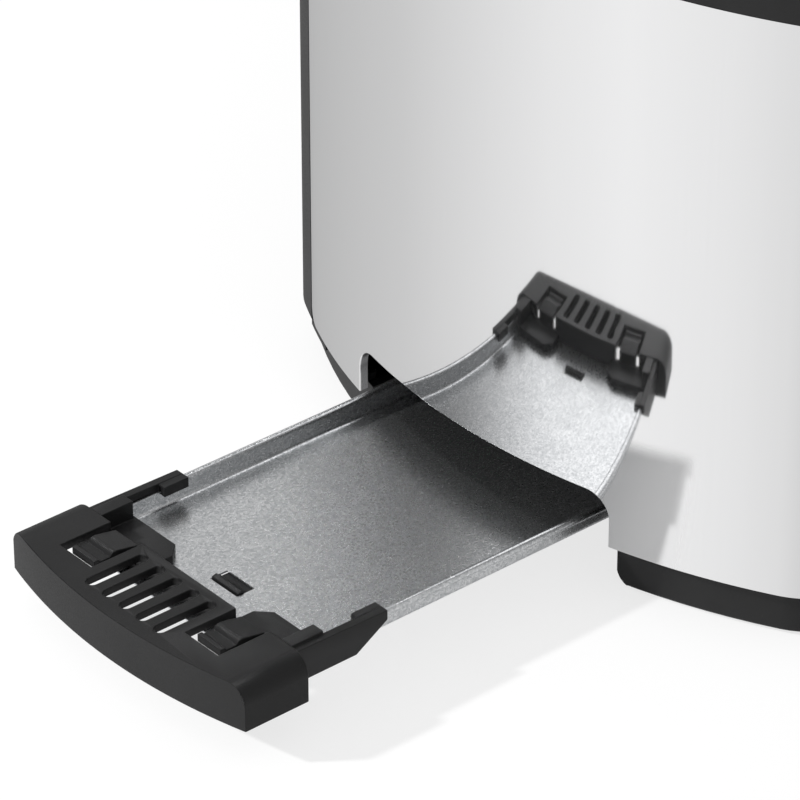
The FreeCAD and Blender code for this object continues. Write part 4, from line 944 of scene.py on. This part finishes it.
def guide_mesh(length, height):
    pattern = Pattern("wire grid", "guide_wire")
    count = pattern.size("Uprights", GUIDE_WIRES)
    pitch = pattern.size("Pitch", GUIDE_PITCH)
    tall = pattern.size("Height", height)
    wide = pattern.size("Hinge length", length)
    radius = pattern.size("Wire radius", WIRE_RADIUS)
    pitches = pattern.sum("MULTIPLY", pattern.sum("SUBTRACT", count, 1.0), pitch)
    half = pattern.sum("MULTIPLY", pitches, 0.5)
    left = pattern.sum("MULTIPLY", half, -1.0)
    inputs = {"Count": count, "Start Location": pattern.vector(left), "Offset": pattern.vector(pitch)}
    feet = pattern.add("GeometryNodeMeshLine", inputs).outputs[0]
    upright = pattern.line(pattern.vector(), pattern.vector(0.0, 0.0, tall))
    top = pattern.line(pattern.vector(left, 0.0, tall), pattern.vector(half, 0.0, tall))
    reach = pattern.sum("MULTIPLY", wide, 0.5)
    hinge = pattern.line(pattern.vector(pattern.sum("MULTIPLY", reach, -1.0)), pattern.vector(reach))
    lines = pattern.add("GeometryNodeJoinGeometry")
    for curve in (pattern.copies(feet, upright), top, hinge):
        pattern.tree.links.new(curve, lines.inputs[0])
    real = pattern.add("GeometryNodeRealizeInstances", {0: lines.outputs[0]})
    return pattern.made(pattern.wire(real.outputs[0], radius))


for name in ("front_outer", "front_inner", "back_inner", "back_outer"):
    node = f"bread_guide_{name}"
    low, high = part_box(node)
    mesh = guide_mesh(high.x - low.x, high.z - low.z - 2 * WIRE_RADIUS)
    middle = (low + high) / 2
    mesh.transform(Matrix.Translation((middle.x, middle.y, low.z + WIRE_RADIUS)))
    add_piece(f"wires_{name}", shaded(mesh, 50), "guide_wire", BODY_OF[node], node)

# %% [markdown]
# Springs and coils are a wire on a helix. The lift spring's turns show gaps, while the magnet's
# winding lies turn on turn over a bobbin with a flange at each end.

# %% Lift spring and magnet coil
def winding_mesh(name, slot, turns, radius, height, wire):
    pattern = Pattern(name, slot)
    count = pattern.size("Turns", float(turns))
    around = pattern.size("Radius", radius)
    tall = pattern.size("Height", height)
    thick_wire = pattern.size("Wire radius", wire)
    inputs = {"Resolution": 24, "Rotations": count, "Start Radius": around, "End Radius": around}
    helix = pattern.add("GeometryNodeCurveSpiral", {**inputs, "Height": tall})
    return pattern.made(pattern.wire(helix.outputs[0], thick_wire))


def turned(profile, steps):
    """A round body: the profile's radius and height points, turned about Z and closed at its poles."""
    shape = bmesh.new()
    rings = []
    for radius, z in profile:
        places = arc(0, 0, radius, 0, 2 * math.pi, steps)[:-1] if radius else [(0, 0)]
        rings.append([shape.verts.new((x, y, z)) for x, y in places])
    for one, other in zip(rings, rings[1:]):
        for step in range(steps):
            corners = [one[step % len(one)], one[(step + 1) % len(one)]]
            corners += [other[(step + 1) % len(other)], other[step % len(other)]]
            unique = list(dict.fromkeys(corners))
            if len(unique) > 2:
                shape.faces.new(unique)
    bmesh.ops.recalc_face_normals(shape, faces=shape.faces)
    return finished(shape)


SPRING_WIRE = 0.5 * MM
low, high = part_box("lift_spring")
spring_radius = (high.x - low.x) / 2 - SPRING_WIRE
spring_height = high.z - low.z - 2 * SPRING_WIRE
spring_mesh = winding_mesh("spring helix", "spring_steel", 9, spring_radius, spring_height, SPRING_WIRE)
middle = (low + high) / 2
spring_mesh.transform(Matrix.Translation((middle.x, middle.y, low.z + SPRING_WIRE)))
add_piece("lift_spring_turns", shaded(spring_mesh, 50), "spring_steel", "housing", "lift_spring")

COIL_WIRE = 0.4 * MM
FLANGE = 1.0 * MM
low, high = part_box("latch_coil")
coil_radius = (high.x - low.x) / 2
middle = (low + high) / 2
coil_place = Matrix.Translation((middle.x, middle.y, low.z))
core = coil_radius - 2 * COIL_WIRE
tall = high.z - low.z
bobbin = [
    (0, 0), (coil_radius, 0), (coil_radius, FLANGE), (core, FLANGE),
    (core, tall - FLANGE), (coil_radius, tall - FLANGE), (coil_radius, tall), (0, tall),
]
bobbin_mesh = turned(bobbin, 40)
bobbin_mesh.transform(coil_place)
add_piece("coil_bobbin", shaded(bobbin_mesh), "white_moulding", "housing", "latch_coil")
turns = int((tall - 2 * FLANGE) / (2 * COIL_WIRE)) - 1
wound = turns * 2 * COIL_WIRE
coil_mesh = winding_mesh("coil winding", "coil_tape", turns, core + COIL_WIRE, wound, COIL_WIRE)
coil_mesh.transform(coil_place @ Matrix.Translation((0, 0, FLANGE + COIL_WIRE)))
add_piece("coil_winding", shaded(coil_mesh, 50), "coil_tape", "housing")

# %% [markdown]
# Screws come in fours: under the base, and behind the control board. One screw is turned, a cross
# recess is cut in its head by a Boolean, and a tree sets it at the four corners of an oblong.

# %% Screws
SHANK_RADIUS = 1.5 * MM
SHANK_POINT = 1.5 * MM
HEAD_RADIUS = 3.0 * MM
HEAD_HEIGHT = 2.0 * MM
HEAD_ROUND = 1.2 * MM
CROSS_REACH = 1.9 * MM
CROSS_HALF = 0.35 * MM
CROSS_DEPTH = 1.1 * MM


def cross_mesh():
    """A cross-shaped punch that cuts a screw's recess."""
    shape = bmesh.new()
    reach, half = CROSS_REACH, CROSS_HALF
    corner = [(reach, -half), (reach, half), (half, half)]
    outline = []
    for _ in range(4):
        outline += corner
        corner = [(-y, x) for x, y in corner]
    below, above = -HEAD_HEIGHT - CROSS_DEPTH, CROSS_DEPTH - HEAD_HEIGHT
    rings = [[shape.verts.new((x, y, z)) for x, y in outline] for z in (below, above)]
    for index in range(len(outline)):
        shape.faces.new((rings[0][index - 1], rings[0][index], rings[1][index], rings[1][index - 1]))
    shape.faces.new(rings[0])
    shape.faces.new(rings[1])
    bmesh.ops.recalc_face_normals(shape, faces=shape.faces)
    return finished(shape)


def screw_mesh(length):
    """One pan-head screw, head down, with its seat at the origin."""
    dome = arc(HEAD_RADIUS - HEAD_ROUND, HEAD_ROUND - HEAD_HEIGHT, HEAD_ROUND, -math.pi / 2, 0, 5)
    profile = [(0, -HEAD_HEIGHT)] + dome + [(HEAD_RADIUS, 0), (SHANK_RADIUS, 0)]
    profile += [(SHANK_RADIUS, length - SHANK_POINT), (0, length)]
    cutter = put("cross", cross_mesh())
    punch = ("BOOLEAN", {"object": cutter, "operation": "DIFFERENCE", "solver": "EXACT"})
    cut = applied(turned(profile, 28), punch)
    bpy.data.objects.remove(cutter)
    return cut


def four_screws(node, length, width, deep, place):
    """A screw at each corner of an oblong that holds their heads, in place of a node."""
    pattern = Pattern("set of four", "screw_steel")
    across = pattern.size("Length", length - 2 * HEAD_RADIUS)
    along = pattern.size("Width", width - 2 * HEAD_RADIUS)
    inputs = {"Size X": across, "Size Y": along, "Vertices X": 2, "Vertices Y": 2}
    grid = pattern.add("GeometryNodeMeshGrid", inputs).outputs[0]
    mesh = pattern.made(pattern.copies(grid, pattern.copy), screw_mesh(deep - HEAD_HEIGHT))
    mesh.transform(place)
    add_piece(f"{node}_cut", shaded(mesh), "screw_steel", "housing", node)


def facing_front(x, y, z):
    """Place of something made round Z at the origin: turned to face the front."""
    return Matrix.Translation((x, y, z)) @ Matrix.Rotation(math.pi / 2, 4, "X")


low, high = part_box("base_screws")
upright = Matrix.Translation((0, 0, low.z + HEAD_HEIGHT))
four_screws("base_screws", *(high - low), upright)

low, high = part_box("board_screws")
middle = (low + high) / 2
wide, deep, tall = high - low
inside = facing_front(middle.x, high.y - HEAD_HEIGHT, middle.z)
four_screws("board_screws", wide, tall, deep, inside)

# %% [markdown]
# The browning knob is turned: a slightly dished face with a rounded rim, and fine ridges round the
# side for the fingers. Its dial is printed on the panel, eleven ticks over the knob's swing with a
# plain number at every second one. Ridges and ticks are both copies turned about an axis, so one
# helper builds a tree for each.

# %% Browning knob and dial
KNOB_SWING = math.radians(135)
RIDGES = 44
RIDGE = 0.55 * MM
RIDGE_PROUD = 0.9
RIDGE_EDGE = 0.4 * MM
RIDGE_GAPS = (1.0 * MM, 2.2 * MM)
TICKS = 11
TICK_REACH = (20.5 * MM, 23.0 * MM)
TICK_HALF = 0.35 * MM
TICK_EDGE = 0.05 * MM
PRINT = 0.08 * MM
POINTER_HALF = 0.8 * MM
POINTER_START = 5.0 * MM
POINTER_SHORT = 3.4 * MM
POINTER_DEPTHS = (1.0 * MM, 0.25 * MM)
POINTER_EDGE = 0.2 * MM
KNOB_RIM = 1.6 * MM
DISH = ((3.2 * MM, 0.1 * MM), (4.0 * MM, 0.5 * MM))
DISH_DEPTH = 0.6 * MM
KNOB_GAP = 0.6 * MM
NUMBERS = 6
NUMBER_SIZE = 5.0 * MM
NUMBER_PLACE = 27.0 * MM
knob_low, knob_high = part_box("browning_knob")
knob_middle = (knob_low + knob_high) / 2
knob_radius = (knob_high.x - knob_low.x) / 2
knob_depth = knob_high.y - knob_low.y
knob_seat = facing_front(knob_middle.x, knob_high.y, knob_middle.z)


def ring_of(name, copy, slot, count, first, step):
    """Copies turned about Z, the first at one angle and the rest a step apart."""
    pattern = Pattern(name, slot)
    number = pattern.size("Copies", count)
    start = pattern.size("First angle", first)
    turn = pattern.size("Step", step)
    points = pattern.add("GeometryNodePoints", {"Count": number})
    index = pattern.add("GeometryNodeInputIndex").outputs[0]
    angle = pattern.sum("ADD", start, pattern.sum("MULTIPLY", turn, index))
    rotation = pattern.vector(0.0, 0.0, angle)
    return pattern.made(pattern.copies(points.outputs[0], pattern.copy, Rotation=rotation), copy)


def block_mesh(low_corner, high_corner, edge, rounds=2):
    """A block between two corners with its edges rounded."""
    shape = bmesh.new()
    bmesh.ops.create_cube(shape, size=1.0)
    low_corner, high_corner = Vector(low_corner), Vector(high_corner)
    size = Matrix.Diagonal((*(high_corner - low_corner), 1.0))
    place = Matrix.Translation((high_corner + low_corner) / 2) @ size
    bmesh.ops.transform(shape, matrix=place, verts=shape.verts)
    return shaded(applied(finished(shape), bevelled(edge, rounds)), 60)


wall = knob_radius - RIDGE
rim = arc(wall - KNOB_RIM, knob_depth - KNOB_RIM, KNOB_RIM, 0, math.pi / 2, 8)
dish = [(wall - inwards, knob_depth - sunk) for inwards, sunk in DISH]
knob_profile = [(0, 0), (wall, 0)] + rim + dish + [(0, knob_depth - DISH_DEPTH)]
knob_mesh = turned(knob_profile, 96)
knob_mesh.transform(knob_seat)
add_piece("knob_body", shaded(knob_mesh), "black_moulding", "browning_control", "browning_knob")

ridge_low = (wall - RIDGE, -RIDGE, RIDGE_GAPS[0])
ridge_high = (wall + RIDGE_PROUD * RIDGE, RIDGE, knob_depth - RIDGE_GAPS[1])
ridge = block_mesh(ridge_low, ridge_high, RIDGE_EDGE)
ridges = ring_of("grip ridges", ridge, "black_moulding", RIDGES, 0.0, 2 * math.pi / RIDGES)
ridges.transform(knob_seat)
add_piece("knob_ridges", shaded(ridges, 60), "black_moulding", "browning_control")

pointer_low = (-POINTER_HALF, POINTER_START, knob_depth - POINTER_DEPTHS[0])
pointer_high = (POINTER_HALF, wall - POINTER_SHORT, knob_depth - POINTER_DEPTHS[1])
pointer = block_mesh(pointer_low, pointer_high, POINTER_EDGE)
pointer.transform(knob_seat)
add_piece("knob_pointer", pointer, "white_moulding", "browning_control")

dial_seat = facing_front(knob_middle.x, knob_high.y + KNOB_GAP, knob_middle.z)
tick_low = (TICK_REACH[0], -TICK_HALF, -PRINT)
tick = block_mesh(tick_low, (TICK_REACH[1], TICK_HALF, PRINT), TICK_EDGE, 1)
first_tick = math.pi / 2 - KNOB_SWING
ticks = ring_of("dial ticks", tick, "white_moulding", TICKS, first_tick, 2 * KNOB_SWING / (TICKS - 1))
ticks.transform(dial_seat)
add_piece("dial_ticks", shaded(ticks, 60), "white_moulding", "housing")


def number_mesh(number):
    """A number as a flat printed shape round the origin."""
    words = bpy.data.curves.new("number", "FONT")
    words.body = str(number)
    words.size = NUMBER_SIZE
    words.align_x = "CENTER"
    words.align_y = "CENTER"
    words.extrude = PRINT
    return taken(put("number", words))


for number in range(1, NUMBERS + 1):
    angle = math.pi / 2 + KNOB_SWING - (number - 1) * 2 * KNOB_SWING / (NUMBERS - 1)
    place = Vector((math.cos(angle), math.sin(angle), 0)) * NUMBER_PLACE
    mesh = number_mesh(number)
    mesh.transform(dial_seat @ Matrix.Translation(place))
    add_piece(f"dial_number_{number}", mesh, "white_moulding", "housing")

# %% [markdown]
# The studio is plain: a pale floor, white for the camera, a key light from the control side that
# throws the tray's short shadow, and two weak ones, seen in gloss alone, that run along rounded
# edges. Polished steel shows the room rather than itself, so the room has a tone for each bearing,
# in degrees from the tray's side. Low down it is brightest past the tray and falls off behind the
# body, as round a large window. Higher up it is the same, but with dark screens to both sides of the
# window, which the tray's floor and walls mirror. Mirrors look past the floor into that room, except
# near the tray, where the floor stays in the picture with its real shadow.

# %% Room
LOW_TONES = {
    -180: 0.38, -135: 0.28, -106: 0.34, -95: 0.555, -61.5: 0.71, -30: 0.975, -16: 1.055,
    0.5: 0.98, 9: 0.90, 60: 0.72, 130: 0.60, 180: 0.40,
}
HIGH_TONES = {
    -180: 0.45, -135: 0.58, -104: 0.58, -92: 0.12, -58: 0.10, -49: 0.20, -42: 0.60,
    -30: 1.40, -15: 1.60, 12: 1.50, 30: 0.80, 44: 0.20, 75: 0.18, 105: 0.45, 130: 0.60, 180: 0.45,
}
EVEN_LIGHT = 0.62


def make_room():
    """White for the camera, a tone for each direction in mirrors, even light for the rest."""
    world = bpy.data.worlds.new("room")
    bpy.context.scene.world = world
    world.use_nodes = True
    tree = world.node_tree
    add = partial(new_node, tree)

    def tones(turn, stops):
        node = add("ShaderNodeValToRGB", {0: turn})
        ramp = node.color_ramp.elements
        for index, (bearing, tone) in enumerate(stops.items()):
            place = (bearing + 180) / 360
            stop = ramp[index] if index < 2 else ramp.new(place)
            stop.position = place
            stop.color = (tone, tone, tone, 1)
        return node.outputs[0]

    def between(share, first, second):
        return add("ShaderNodeMix", {0: share, 2: first, 3: second}).outputs[0]

    way = add("ShaderNodeSeparateXYZ", {0: add("ShaderNodeTexCoord").outputs["Generated"]}).outputs
    azimuth = add("ShaderNodeMath", {0: way["Y"], 1: way["X"]}, operation="ARCTAN2").outputs[0]
    circle = {"Value": azimuth, "From Min": -math.pi, "From Max": math.pi}
    turn = add("ShaderNodeMapRange", circle).outputs[0]
    rise = {"Value": way["Z"], "From Min": -0.02, "From Max": 0.08}
    high = add("ShaderNodeMapRange", rise, interpolation_type="SMOOTHSTEP").outputs[0]
    tone = between(high, tones(turn, LOW_TONES), tones(turn, HIGH_TONES))
    path = add("ShaderNodeLightPath")
    mirrored = between(path.outputs["Is Glossy Ray"], EVEN_LIGHT, tone)
    seen = between(path.outputs["Is Camera Ray"], mirrored, 1.0)
    tree.links.new(seen, tree.nodes["Background"].inputs["Color"])


make_room()

# %% Floor
FLOOR_REACH = 3.0
PAPER = (0.9, 0.9, 0.9)
SHADOW_SHARE = 0.25
MIRRORED_SHARE = 0.8
KEPT_LOW = (100 * MM, -15 * MM)
KEPT_HIGH = (222 * MM, 68 * MM)
KEPT_FADE = 12 * MM


def make_floor():
    """Paper that stays white for the camera but for a soft shadow."""
    material = bpy.data.materials.new("floor paper")
    material.use_nodes = True
    tree = material.node_tree
    tree.nodes.clear()
    add = partial(new_node, tree)

    def mixed(share, first, second):
        return add("ShaderNodeMixShader", {0: share, 1: first, 2: second}).outputs[0]

    paper = add("ShaderNodeBsdfDiffuse", {"Color": (*PAPER, 1)}).outputs[0]
    glow = add("ShaderNodeEmission", {"Strength": 1.0}).outputs[0]
    seen = mixed(SHADOW_SHARE, glow, paper)
    place = add("ShaderNodeSeparateXYZ", {0: add("ShaderNodeTexCoord").outputs["Object"]})
    kept = 1.0
    for axis, low, high in (("X", KEPT_LOW[0], KEPT_HIGH[0]), ("Y", KEPT_LOW[1], KEPT_HIGH[1])):
        for edge, inside in ((low, low + KEPT_FADE), (high, high - KEPT_FADE)):
            inputs = {"Value": place.outputs[axis], "From Min": edge, "From Max": inside}
            share = add("ShaderNodeMapRange", inputs, interpolation_type="SMOOTHSTEP").outputs[0]
            kept = add("ShaderNodeMath", {0: kept, 1: share}, operation="MULTIPLY").outputs[0]
    clear = add("ShaderNodeBsdfTransparent").outputs[0]
    mirrored = mixed(kept, clear, mixed(MIRRORED_SHARE, glow, paper))
    path = add("ShaderNodeLightPath").outputs
    either = mixed(path["Is Glossy Ray"], paper, mirrored)
    add("ShaderNodeOutputMaterial", {"Surface": mixed(path["Is Camera Ray"], either, seen)})
    mesh = bpy.data.meshes.new("floor")
    reach = FLOOR_REACH
    corners = [(-reach, -reach, 0), (reach, -reach, 0), (reach, reach, 0), (-reach, reach, 0)]
    mesh.from_pydata(corners, [], [(0, 1, 2, 3)])
    mesh.materials.append(material)
    put("floor", mesh)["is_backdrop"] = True


make_floor()

# %% Lamps
LAMP_AIM = Vector((0.19, 0.0, 0.02))
LAMP_DISTANCE = 1.5


def make_lamp(name, azimuth, elevation, width, power, glint):
    """A soft square lamp in a direction from the tray, which lights, or only glints in gloss."""
    bearing, rise = math.radians(azimuth), math.radians(elevation)
    level = math.cos(rise)
    towards = Vector((math.cos(bearing) * level, math.sin(bearing) * level, math.sin(rise)))
    data = bpy.data.lights.new(name, "AREA")
    data.size = width
    data.energy = power
    lamp = faced(put(name, data), LAMP_AIM + towards * LAMP_DISTANCE, towards)
    lamp.visible_glossy = glint
    lamp.visible_diffuse = not glint


make_lamp("key", -33, 32, 0.07, 26.0, False)
make_lamp("glint from behind", 180, 57, 0.12, 9.0, True)
make_lamp("glint from the front", -90, 50, 0.12, 2.5, True)
bpy.context.scene.view_settings.view_transform = "Standard"
print("lit by three lamps and the room")

# %% [markdown]
# The last cell prints the dressed model's box, which is meant to lie inside the construction's box.

# %% Sizes
low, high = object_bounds()
print("dressed", [round(v, 4) for v in low], [round(v, 4) for v in high])
